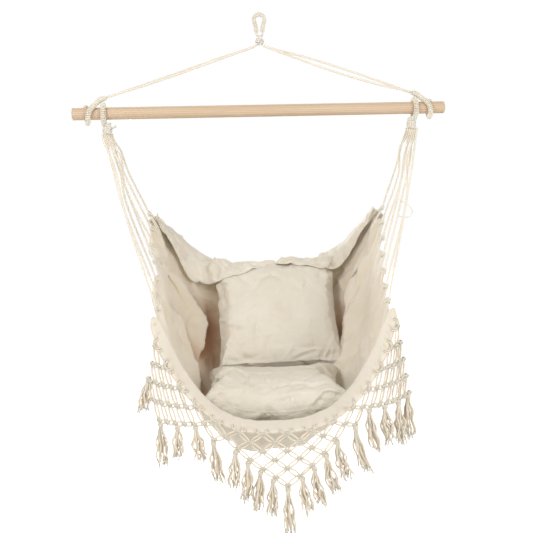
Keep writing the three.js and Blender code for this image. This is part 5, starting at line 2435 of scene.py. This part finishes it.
@dataclass
class NetFringe:
    """The net of doubled cords, knotted at each crossing, in five panels."""

    cord_radius: float = 0.0023
    bow: float = 0.0043
    bow_range: tuple[float, float] = (0.7, 1.35)
    lift: float = 0.0012
    pair_shares: tuple[float, ...] = (0.06, 0.25, 0.5, 0.75, 0.94)
    pair_spread: tuple[float, ...] = (0.35, 0.85, 1.0, 0.85, 0.35)
    bar_level: float = 0.0022
    bar_tilt: float = 0.12
    bar_half: float = 0.0054
    bar_depth: float = 0.0038
    cross_reach: float = 0.0066
    cross_hump: float = 0.0034
    arm_spread: float = 0.0135
    arm_top: tuple[float, float, float] = (0.0026, -0.008, 0.0056)
    arm_turn: tuple[float, float] = (0.004, 0.0016)
    arm_foot: tuple[float, float, float] = (0.003, 0.0008, 0.005)
    arm_middle: tuple[float, float] = (0.002, 0.0022)
    arm_end: float = 0.003
    panels: tuple = (("net_left_side", -14, -11), ("net_left", -10, -5), ("net_centre", -4, 4),
                     ("net_right", 5, 10), ("net_right_side", 11, 14))

    def build(self, finishes: Finishes) -> list[Thing]:
        """Builds the five panels.

        Args:
            finishes: the materials.

        Returns:
            The pieces.
        """
        line = HemLine()
        chance = np.random.default_rng(21)
        made = []
        for name, first, last in self.panels:
            skin = Skin()
            for column in range(first, last + 1):
                for row in range(NET.depth(column) + 1):
                    if NET.has(column, row):
                        self._crossing(skin, line, column, row, chance)
            panel = skin.piece("knotted_" + name, finishes[Finish.FRINGE])
            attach(panel, "seat")
            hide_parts(name)
            made.append(panel)
        return made

    def _crossing(self, skin: Skin, line: HemLine, column: int, row: int,
                  chance: np.random.Generator) -> None:
        """One knot with the doubled cords to its two lower neighbours.

        Args:
            skin: the mesh that grows.
            line: the hem's outer edge.
            column: its column, in half steps from the middle.
            row: its row, from the hem.
            chance: what the knot's unevenness is drawn from.
        """
        centre, right, left, across = NET.place(line, column, row)
        self._knot(skin, centre, right, left, across, chance)
        for step in (1, -1):
            if NET.has(column + step, row + 1):
                other = NET.place(line, column + step, row + 1)[0]
                self._pair(skin, centre, other, across, chance)
        if row == 0:
            self._arms(skin, line, column, centre)

    def _knot(self, skin: Skin, centre: Array, right: Array, left: Array, across: Array,
              chance: np.random.Generator) -> None:
        """A square knot: two bars across a bundle and two cords that cross over it.

        Args:
            skin: the mesh that grows.
            centre: the knot's middle.
            right: the way to its lower right neighbour.
            left: the way to its lower left neighbour.
            across: the way through the net.
            chance: what its unevenness is drawn from.
        """
        aside, down = unit(right - left), unit(right + left)
        cord = self.cord_radius
        angle = np.linspace(0.0, 2 * np.pi, 15)
        for level in (-self.bar_level, self.bar_level):
            tilt = chance.normal(0.0, self.bar_tilt)
            ring = (self.bar_half * np.cos(angle)[:, None] * (aside + tilt * down)
                    + self.bar_depth * np.sin(angle)[:, None] * across)
            skin.tube(centre + down * level + ring, cord, 6)
        for way in (right, left):
            share = np.linspace(-1.0, 1.0, 7)[:, None]
            hump = (1 - share ** 2) * self.cross_hump
            line = centre + way * share * self.cross_reach
            skin.tube(line - across * hump, cord, 6)
            skin.tube(line + across * hump * 0.8, cord, 6)

    def _pair(self, skin: Skin, start: Array, end: Array, across: Array,
              chance: np.random.Generator) -> None:
        """Two cords that bow apart between two knots.

        Args:
            skin: the mesh that grows.
            start: the upper knot's middle.
            end: the lower knot's middle.
            across: the way through the net.
            chance: what its unevenness is drawn from.
        """
        way = end - start
        aside = unit(np.cross(way, across))
        shares, spread = np.array(self.pair_shares), np.array(self.pair_spread)
        for side in (-1.0, 1.0):
            bow = self.bow * chance.uniform(*self.bow_range)
            lift = chance.normal(0.0, self.lift)
            path = (start + way * shares[:, None] + aside * (side * bow * spread)[:, None]
                    - across * (lift * np.sin(np.pi * shares))[:, None])
            skin.tube(curved(path, 9), self.cord_radius, 6)

    def _arms(self, skin: Skin, line: HemLine, column: int, centre: Array) -> None:
        """The cords from a top knot up into the hem on both of its sides.

        Args:
            skin: the mesh that grows.
            line: the hem's outer edge.
            column: its column, in half steps from the middle.
            centre: the knot's middle.
        """
        for side in (-1.0, 1.0):
            distance = NET.shift + column * NET.half_pitch + side * self.arm_spread
            point, along, width, forward = line.at(distance)
            for twin in (-1.0, 1.0):
                up, low = (point + along * twin * aside + width * out + forward * ahead
                           for aside, out, ahead in (self.arm_top, self.arm_foot))
                turn = up + width * self.arm_turn[0] + forward * self.arm_turn[1]
                middle = ((low + centre) / 2 + width * self.arm_middle[1]
                          + along * twin * self.arm_middle[0])
                path = np.array([up, turn, low, middle, centre + along * side * self.arm_end])
                skin.tube(curved(path, 10), self.cord_radius, 6)


@dataclass(frozen=True)
class Hang:
    """How one tassel hangs: its lean to the right for its length, that length, and its curl."""

    lean: float
    length: float
    curl: float = 1.0


@dataclass
class Tassels:
    """The tassels under the net: a bound head and loose cords with frayed ends."""

    cord_radius: float = 0.0021
    strands: int = 13
    spread: float = 0.0155
    neck: float = 0.0034
    wave: float = 0.0024
    steps: int = 15
    golden_turn: float = 0.382
    lengths: tuple[float, float] = (0.86, 1.06)
    waves: tuple[float, float] = (1.1, 2.3)
    thickness: tuple[float, float] = (0.85, 1.15)
    sunk: float = 0.001
    lean_power: float = 1.6
    head_tilt: float = 0.14
    head_cord: float = 0.0019
    head_turns: tuple = ((0.0026, 0.0052), (0.0062, 0.0058), (0.0098, 0.0052))
    fray_sizes: tuple = (("Fibres", 9), ("Length", 0.01), ("Fibre radius", 0.0005),
                         ("Spread", 0.26))
    first_seed: int = 100
    hangs: tuple[Hang, ...] = (
        Hang(-0.2, 0.078, 1.3), Hang(0.03, 0.1), Hang(0.0, 0.072, 1.2), Hang(0.15, 0.076, 1.2),
        Hang(0.13, 0.092, 1.1), Hang(-0.08, 0.088), Hang(-0.04, 0.09), Hang(-0.08, 0.089),
        Hang(-0.02, 0.084), Hang(0.03, 0.108, 0.8), Hang(0.17, 0.084, 1.1), Hang(0.19, 0.088, 1.1),
        Hang(0.24, 0.092, 1.3), Hang(0.25, 0.092, 1.2), Hang(0.22, 0.108), Hang(0.16, 0.098),
        Hang(0.15, 0.09, 1.4), Hang(0.08, 0.1, 1.2), Hang(0.05, 0.104))

    def build(self, patterns: Patterns, finishes: Finishes) -> list[Thing]:
        """Builds every tassel at the place of its own solid.

        Args:
            patterns: the Geometry Nodes trees.
            finishes: the materials.

        Returns:
            The pieces.
        """
        made = []
        for index, hang in enumerate(self.hangs, start=1):
            low, high = (np.array(corner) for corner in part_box(f"tassel_{index}"))
            top = np.array([(low[0] + high[0]) / 2, (low[1] + high[1]) / 2, high[2]])
            made.append(self._tassel(index, top, hang, patterns, finishes))
        return made

    def _tassel(self, index: int, top: Array, hang: Hang, patterns: Patterns,
                finishes: Finishes) -> Thing:
        """One tassel.

        Args:
            index: the tassel's number.
            top: the top of its head.
            hang: how it hangs.
            patterns: the Geometry Nodes trees.
            finishes: the materials.

        Returns:
            The tassel.
        """
        chance = np.random.default_rng(self.first_seed + index)
        skin = Skin()
        ends, ways = [], []
        for strand in range(self.strands):
            path = self._strand(top, hang, strand, chance)
            radius = self.cord_radius * chance.uniform(*self.thickness)
            skin.tube(path, radius, 5)
            ends.append(path[-1])
            ways.append(unit(path[-1] - path[-3]))
        self._head(skin, top, chance)
        tassel = skin.piece(f"cotton_tassel_{index}", finishes[Finish.FRINGE])
        frays = grown(f"fray_{index}", marked_points("ends", ends, way=ways), patterns.frays, {
            **dict(self.fray_sizes), "Seed": index, "Material": finishes[Finish.FRAY]})
        join_meshes(tassel, [frays])
        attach(tassel, "seat")
        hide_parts(f"tassel_{index}")
        return tassel

    def _strand(self, top: Array, hang: Hang, strand: int, chance: np.random.Generator) -> Array:
        """The wavy line of one cord of a tassel.

        Args:
            top: the top of its head.
            hang: how it hangs.
            strand: the number of the cord in it.
            chance: what its unevenness is drawn from.

        Returns:
            The points of the line.
        """
        turn = 2 * np.pi * (strand * self.golden_turn + chance.uniform(0, 0.1))
        out = math.sqrt((strand + 0.5) / self.strands)
        length = hang.length * chance.uniform(*self.lengths)
        share = np.linspace(0.0, 1.0, self.steps)
        radius = out * (self.neck + (self.spread - self.neck) * ease((share - 0.06) * 1.9))
        way = np.array([math.cos(turn), math.sin(turn), 0.0])
        swing = np.array([-way[1], way[0], 0.0])
        waves = chance.uniform(*self.waves)
        size = self.wave * hang.curl * ease((share - 0.12) * 2)
        bend = np.sin(2 * np.pi * (waves * share + chance.uniform(0, 1)))
        turned = np.cos(2 * np.pi * (waves * 1.2 * share + chance.uniform(0, 1)))
        path = top + np.zeros((self.steps, 3))
        path[:, 2] -= self.sunk + length * share
        path += radius[:, None] * way + (size * bend)[:, None] * swing
        path += (size * turned)[:, None] * way
        path[:, 0] += hang.lean * length * share ** self.lean_power
        return path

    def _head(self, skin: Skin, top: Array, chance: np.random.Generator) -> None:
        """The turns of cord that bind the top of a tassel.

        Args:
            skin: the mesh that grows.
            top: the top of its head.
            chance: what its unevenness is drawn from.
        """
        angle = np.linspace(0.0, 2 * np.pi, 17)
        for level, reach in self.head_turns:
            tilt = chance.normal(0.0, self.head_tilt, 2)
            ring = np.stack([reach * np.cos(angle), reach * np.sin(angle),
                             reach * (tilt[0] * np.cos(angle) + tilt[1] * np.sin(angle))], axis=1)
            skin.tube(top - UP * level + ring, self.head_cord, 6)


# Cushions


@dataclass
class Cushion:
    """A loose cushion: a crowned pad that is blown up as cloth, creased and seamed."""

    name: str
    node: str
    body: str
    width: float
    depth: float
    thickness: float
    curl: float
    aside: float
    forward: float
    drop: float
    tilt: float
    turn: float
    creases: tuple[Crease, ...]
    swells: tuple[tuple[float, float, float, float], ...]
    edge: float = 0.009
    fill: float = 0.6
    crown_share: float = 0.42
    draw_in: float = 0.06
    cells: int = 56
    voxel: float = 0.005
    cap: float = 0.02
    shrink: float = 0.985
    frames: int = 20
    room_out: float = 0.004
    room_under: float = -0.0004
    seam_radius: float = 0.0012
    edge_creases: int = 90
    edge_from: float = 0.35
    edge_rate: float = 1.8
    edge_chance: float = 0.6
    edge_stray: float = 0.1
    edge_lengths: tuple[float, float] = (0.02, 0.05)
    edge_widths: tuple[float, float] = (0.0035, 0.008)
    edge_heights: tuple[float, float] = (0.0008, 0.0028)
    underside: float = -0.3
    broad_crumple: Crumple = Crumple(110, (0.025, 0.07), (0.005, 0.01), (-0.0085, 0.0065))
    fine_crumple: Crumple = Crumple(170, (0.01, 0.03), (0.0025, 0.005), (-0.0045, 0.0035))

    def _pad(self, a: Array, b: Array, side: float) -> Array:
        """Points of the pad.

        Args:
            a: places across it, from -1 to 1.
            b: places along it, from -1 to 1.
            side: its face, 1 or -1, or 0 for the middle between them.

        Returns:
            The points in the chair.
        """
        x = self.width / 2 * a * (1 - self.draw_in * (1 - b * b))
        y = self.depth / 2 * b * (1 - self.draw_in * (1 - a * a))
        crown = np.maximum(0, (1 - a * a) * (1 - b * b)) ** self.crown_share
        z = self.edge / 2 + (self.thickness - self.edge) / 2 * crown
        local = np.stack([x * self.shrink, y * self.shrink,
                          self.curl * a * a + side * z * self.shrink], axis=-1)
        turn = Matrix.Rotation(self.tilt, 3, "X") @ Matrix.Rotation(self.turn, 3, "Z")
        place = np.array([SLING.shift_x + self.aside, SLING.shift_y - self.forward, -self.drop])
        return local @ np.array(turn).T + place

    def build(self, finishes: Finishes) -> Thing:
        """Builds the cushion with its seam.

        Args:
            finishes: the materials.

        Returns:
            The cushion.
        """
        spread = np.sin(np.pi / 2 * np.linspace(-1, 1, self.cells + 1))
        a, b = np.meshgrid(spread, spread, indexing="ij")
        skin = Skin()
        skin.grid(self._pad(a, b, 1.0), np.stack([a, b], axis=-1))
        skin.grid(self._pad(a, b, -1.0)[::-1], np.stack([a, b], axis=-1))
        pad = skin.piece(self.name, finishes[Finish.CUSHION])
        self._close(pad)
        self._remesh(pad)
        self._blow_up(pad)
        self._hold_in(pad)
        self._swell(pad)
        fine = pad.modifiers.new("fine", "SUBSURF")
        fine.levels = fine.render_levels = 1
        bake(pad)
        pad.data.shade_smooth()
        place_points(pad, press(points_of(pad), normals_of(pad), tree_of(pad), self.creases))
        self._crumple(pad)
        self._seam(pad, finishes)
        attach(pad, self.body)
        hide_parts(self.node)
        return pad

    @staticmethod
    def _close(pad: Thing) -> None:
        """Joins the two faces of a new pad along its edge.

        Args:
            pad: the cushion's object.
        """
        work = bmesh.new()
        work.from_mesh(pad.data)
        border = [edge for edge in work.edges if edge.is_boundary]
        bmesh.ops.bridge_loops(work, edges=border)
        bmesh.ops.recalc_face_normals(work, faces=work.faces)
        work.to_mesh(pad.data)
        work.free()

    def _remesh(self, pad: Thing) -> None:
        """Gives the pad an even mesh.

        Args:
            pad: the cushion's object.
        """
        even = pad.modifiers.new("even", "REMESH")
        even.mode = "VOXEL"
        even.voxel_size = self.voxel
        bake(pad)

    def _blow_up(self, pad: Thing) -> None:
        """Swells the pad as cloth a little larger than its form, so that it creases.

        Args:
            pad: the cushion's object.
        """
        start = points_of(pad)
        cloth = pad.modifiers.new("cloth", "CLOTH")
        held = cloth.settings
        held.quality = 5
        held.mass = 0.25
        held.tension_stiffness = held.compression_stiffness = 12.0
        held.shear_stiffness = 4.0
        held.bending_stiffness = 0.25
        held.use_pressure = True
        held.uniform_pressure_force = 4.0
        held.shrink_min = -0.07
        held.effector_weights.gravity = 0.0
        cloth.collision_settings.use_collision = False
        scene = bpy.context.scene
        for number in range(1, self.frames + 1):
            scene.frame_set(number)
        graph = bpy.context.evaluated_depsgraph_get()
        end = points_of(pad.evaluated_get(graph))
        pad.modifiers.remove(cloth)
        scene.frame_set(1)
        moved = end - start
        size = np.linalg.norm(moved, axis=1, keepdims=True)
        place_points(pad, start + moved * np.minimum(1.0, self.cap / np.maximum(size, 1e-9)))

    def _hold_in(self, pad: Thing) -> None:
        """Keeps the pad within a few millimetres of its solid, and off the sling below.

        Args:
            pad: the cushion's object.
        """
        tree = tree_of(bpy.data.objects[self.node])
        points = points_of(pad)
        for index, point in enumerate(points):
            near, normal, _, _ = tree.find_nearest(Vector(point))
            beyond = (Vector(point) - near).dot(normal)
            under = float(np.clip(-normal.z * 3 + 0.4, 0.0, 1.0))
            room = mix(self.room_out, self.room_under, under)
            if beyond > room:
                points[index] = np.array(near + (Vector(point) - near).normalized() * room
                                         if room > 0 else near + normal * self.room_under)
        place_points(pad, points)

    def _swell(self, pad: Thing) -> None:
        """Pushes the filling about: broad swells and hollows where the photograph has them.

        Args:
            pad: the cushion's object.
        """
        tree = tree_of(pad)
        points, normals = points_of(pad), normals_of(pad)
        moved = points.copy()
        for x, y, radius, height in self.swells:
            middle = cast(tree, [(x, y)])
            if len(middle):
                gap = np.linalg.norm(points - middle[0], axis=1)
                moved += normals * (height * np.exp(-((gap / radius) ** 2)))[:, None]
        place_points(pad, moved)

    def _crumple(self, pad: Thing) -> None:
        """Small seeded creases, strongest near the edges.

        Args:
            pad: the cushion's object.
        """
        chance = np.random.default_rng(len(self.name))
        points, normals = points_of(pad), normals_of(pad)
        middle = points.mean(axis=0)
        reach = np.linalg.norm(points - middle, axis=1)
        edge = ease((reach / reach.max() - self.edge_from) * self.edge_rate)
        height = np.zeros(len(points))
        for _ in range(self.edge_creases):
            index = chance.integers(len(points))
            centre = points[index]
            if edge[index] < chance.uniform(0, self.edge_chance):
                continue
            inward = unit(middle - centre + chance.normal(0.0, self.edge_stray, 3))
            way = unit(inward - normals[index] * inward.dot(normals[index]))
            apart = points - centre
            along = apart @ way
            aside = np.linalg.norm(apart - along[:, None] * way, axis=1)
            length = chance.uniform(*self.edge_lengths)
            width = chance.uniform(*self.edge_widths)
            height += (chance.choice([-1.0, 1.0]) * chance.uniform(*self.edge_heights)
                       * np.exp(-((along / length) ** 2) - (aside / width) ** 2))
        for crumple in (self.broad_crumple, self.fine_crumple):
            height += crumpled(points, normals, chance, crumple)
        under = normals[:, 2] < self.underside
        height = np.where(under, np.minimum(height, 0.0), height)
        place_points(pad, points + normals * height[:, None])

    def _seam(self, pad: Thing, finishes: Finishes) -> None:
        """Sews the joined edge: a thin ridge round the pad, on the pad's own surface.

        Args:
            pad: the cushion's object.
            finishes: the materials.
        """
        tree = tree_of(pad)
        turn = np.linspace(0.0, 2 * np.pi, 241)
        square = 1 / np.maximum(np.abs(np.cos(turn)), np.abs(np.sin(turn)))
        a, b = np.cos(turn) * square, np.sin(turn) * square
        edge = self._pad(a, b, 0.0)
        found = np.array([tree.find_nearest(Vector(point))[0] for point in edge])
        ring = found[:-1]
        smooth = (np.roll(ring, 1, axis=0) + ring + np.roll(ring, -1, axis=0)) / 3
        skin = Skin()
        skin.tube(np.vstack([smooth, smooth[:1]]), self.seam_radius, 6)
        seam = skin.piece(self.name + "_seam", finishes[Finish.CUSHION])
        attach(seam, self.body)


def seat_cushion() -> Cushion:
    """The cushion on the seat, with the folds that the photograph shows on it.

    Returns:
        The cushion with its sizes, before it is built.
    """
    return Cushion(
        "seat_pad", "seat_cushion", "seat_cushion_body", 0.352, 0.3, 0.15, 0.04, -0.008, 0.112,
        1.003, 0.02, -0.08, (
            Crease(((210, 371), (213, 382), (218, 393), (226, 401)), 0.005, 0.006, 0.7),
            Crease(((227, 372), (240, 371), (247, 378), (241, 385)), 0.004, 0.007, 0.7),
            Crease(((257, 373), (263, 380), (260, 388)), 0.003, 0.007, 0.6),
            Crease(((273, 376), (270, 383), (277, 389)), 0.003, 0.006, 0.6),
            Crease(((288, 388), (300, 382), (312, 385), (324, 383)), 0.004, 0.007, 0.7),
            Crease(((335, 376), (340, 387), (337, 396)), 0.005, 0.007, 0.7),
            Crease(((318, 401), (328, 393), (338, 395), (344, 392)), 0.007, 0.006, 0.8),
            Crease(((312, 409), (321, 400), (328, 403)), 0.005, 0.006, 0.7),
            Crease(((280, 404), (290, 398), (302, 395)), 0.003, 0.008, 0.5),
            Crease(((220, 397), (233, 392), (243, 393)), 0.003, 0.007, 0.6),
        ), (
            (222, 379, 0.045, 0.018), (300, 396, 0.04, 0.008), (262, 386, 0.03, -0.006),
            (332, 385, 0.03, -0.006), (250, 405, 0.04, 0.005), (338, 404, 0.025, 0.004)))


def back_cushion() -> Cushion:
    """The cushion on the back, with the folds that the photograph shows on it.

    Returns:
        The cushion with its sizes, before it is built.
    """
    return Cushion(
        "back_pad", "back_cushion", "back_cushion_body", 0.378, 0.37, 0.13, 0.026, 0.034, -0.166,
        0.826, 0.98, 0.0, (
            Crease(((260, 279), (273, 274), (285, 283)), 0.003, 0.007, 0.6),
            Crease(((290, 279), (300, 288), (309, 282)), 0.003, 0.007, 0.6),
            Crease(((317, 273), (330, 282), (340, 288)), 0.004, 0.007, 0.7),
            Crease(((337, 286), (340, 297), (337, 306)), 0.006, 0.006, 0.8),
            Crease(((330, 322), (337, 320), (342, 316)), 0.004, 0.006, 0.7),
            Crease(((331, 336), (323, 354), (317, 367)), 0.004, 0.006, 0.7),
            Crease(((337, 328), (331, 345), (328, 361)), 0.004, 0.005, 0.7),
            Crease(((279, 311), (272, 322), (264, 326)), 0.002, 0.008, 0.6),
            Crease(((219, 352), (230, 360), (256, 369)), 0.004, 0.007, 0.6),
            Crease(((293, 360), (305, 355), (319, 351)), 0.003, 0.006, 0.7),
            Crease(((262, 276), (255, 288), (248, 296)), 0.003, 0.008, 0.6),
            Crease(((306, 290), (300, 302), (303, 312)), 0.002, 0.008, 0.6),
            Crease(((242, 330), (236, 344), (226, 352)), 0.002, 0.008, 0.6),
        ), (
            (242, 318, 0.055, 0.008), (312, 330, 0.045, 0.006), (283, 300, 0.03, -0.005),
            (335, 292, 0.025, 0.008), (336, 312, 0.02, -0.006), (332, 345, 0.03, 0.006),
            (270, 352, 0.03, 0.004)))


# The studio


@dataclass
class Studio:
    """A pale floor, a white surround and soft lamps that look at the seat."""

    floor_z: float = -1.68
    floor_half: float = 9.0
    floor_grey: float = 0.86
    floor_glow: float = 0.64
    low_light: float = 0.78
    high_light: float = 0.52
    look_at: tuple[float, float, float] = (0.0, 0.0, -0.75)
    lamps: tuple = (("key", (-1.7, -2.2, 1.0), 0.7, 34.0), ("fill", (1.5, -2.5, -0.2), 1.2, 23.0),
                    ("back", (-0.8, 2.4, -0.2), 1.0, 34.0))
    white: tuple[float, float, float, float] = (1.0, 1.0, 1.0, 1.0)
    warm: tuple[float, float, float, float] = (1.0, 0.96, 0.9, 1.0)

    def build(self) -> None:
        """Builds the floor, the world and the lamps."""
        scene = bpy.context.scene
        scene.view_settings.view_transform = "Standard"
        self._floor()
        self._world()
        for lamp in self.lamps:
            self._lamp(*lamp)

    def _floor(self) -> None:
        """A wide pale floor that keeps the shadow and shows white to the camera."""
        mesh = bpy.data.meshes.new("floor")
        half = self.floor_half
        corners = ((-half, -half), (half, -half), (half, half), (-half, half))
        mesh.from_pydata([(x, y, self.floor_z) for x, y in corners], [], [(0, 1, 2, 3)])
        floor = linked("floor", mesh)
        made, nodes, shader = fresh_material("floor_white")
        grey = self.floor_grey
        settle(shader, {"Base Color": (grey, grey, grey, 1.0), "Roughness": 0.9,
                        "Emission Color": self.white})
        seen = nodes.add("ShaderNodeLightPath").outputs["Is Camera Ray"]
        glow = nodes.math("MULTIPLY", seen, self.floor_glow)
        nodes.tree.links.new(glow, shader.inputs["Emission Strength"])
        mesh.materials.append(made)

    def _world(self) -> None:
        """A white surround for the camera and gloss, and a softer light for all else."""
        world = bpy.data.worlds.new("studio")
        world.use_nodes = True
        nodes = Nodes(world.node_tree)
        back = world.node_tree.nodes["Background"]
        back.inputs["Color"].default_value = self.white
        path = nodes.add("ShaderNodeLightPath")
        seen = nodes.math("MAXIMUM", path.outputs["Is Camera Ray"],
                          nodes.math("MAXIMUM", path.outputs["Is Glossy Ray"],
                                     path.outputs["Is Transmission Ray"]))
        way = nodes.add("ShaderNodeTexCoord").outputs["Generated"]
        height = nodes.add("ShaderNodeSeparateXYZ", {0: way}).outputs[2]
        dome = nodes.add("ShaderNodeMapRange", {
            "Value": height, "From Min": 0.0, "From Max": 1.0, "To Min": self.low_light,
            "To Max": self.high_light})
        rest = nodes.math("MULTIPLY", nodes.math("SUBTRACT", 1.0, seen), dome.outputs[0])
        nodes.tree.links.new(nodes.math("ADD", seen, rest), back.inputs["Strength"])
        nodes.tree.links.new(nodes.blend(seen, self.warm, self.white), back.inputs["Color"])
        bpy.context.scene.world = world

    def _lamp(self, name: str, place: tuple[float, float, float], size: float,
              power: float) -> None:
        """One soft square lamp that looks at the seat.

        Args:
            name: its name.
            place: where it stands.
            size: its side.
            power: its power.
        """
        data = bpy.data.lights.new(name, "AREA")
        data.size = size
        data.energy = power
        made = linked(name, data)
        way = Vector(self.look_at) - Vector(place)
        made.location = place
        made.rotation_euler = way.to_track_quat("-Z", "Y").to_euler()


def main() -> None:
    """Builds the chair and its studio in order, and reports each piece."""
    logging.basicConfig(level=logging.INFO, format="%(message)s")
    CAMERA.make()
    finishes, patterns = Finishes(), Patterns()
    made: list[Thing] = []
    steps: list[Callable[[], list[Thing]]] = [
        lambda: HangingEye().build(patterns, finishes),
        lambda: Suspension().build(patterns, finishes),
        lambda: SpreaderBar().build(finishes),
        lambda: SeatLoops().build(patterns, finishes),
        lambda: SeatCords().build(finishes),
        lambda: TabTies().build(finishes),
        lambda: SlackLoop().build(finishes),
        lambda: FrontHem().build(patterns, finishes),
        lambda: NetFringe().build(finishes),
        lambda: Tassels().build(patterns, finishes),
    ]
    for step in steps:
        made += step()
    sling = Sling()
    made += sling.build(finishes)
    pads = [seat_cushion().build(finishes), back_cushion().build(finishes)]
    made += pads
    made += BackCollar().build(finishes, pads[1])
    Studio().build()
    for piece in made:
        log.info("piece %s, %d faces", piece.name, len(piece.data.polygons))


if __name__ == "__main__":
    main()
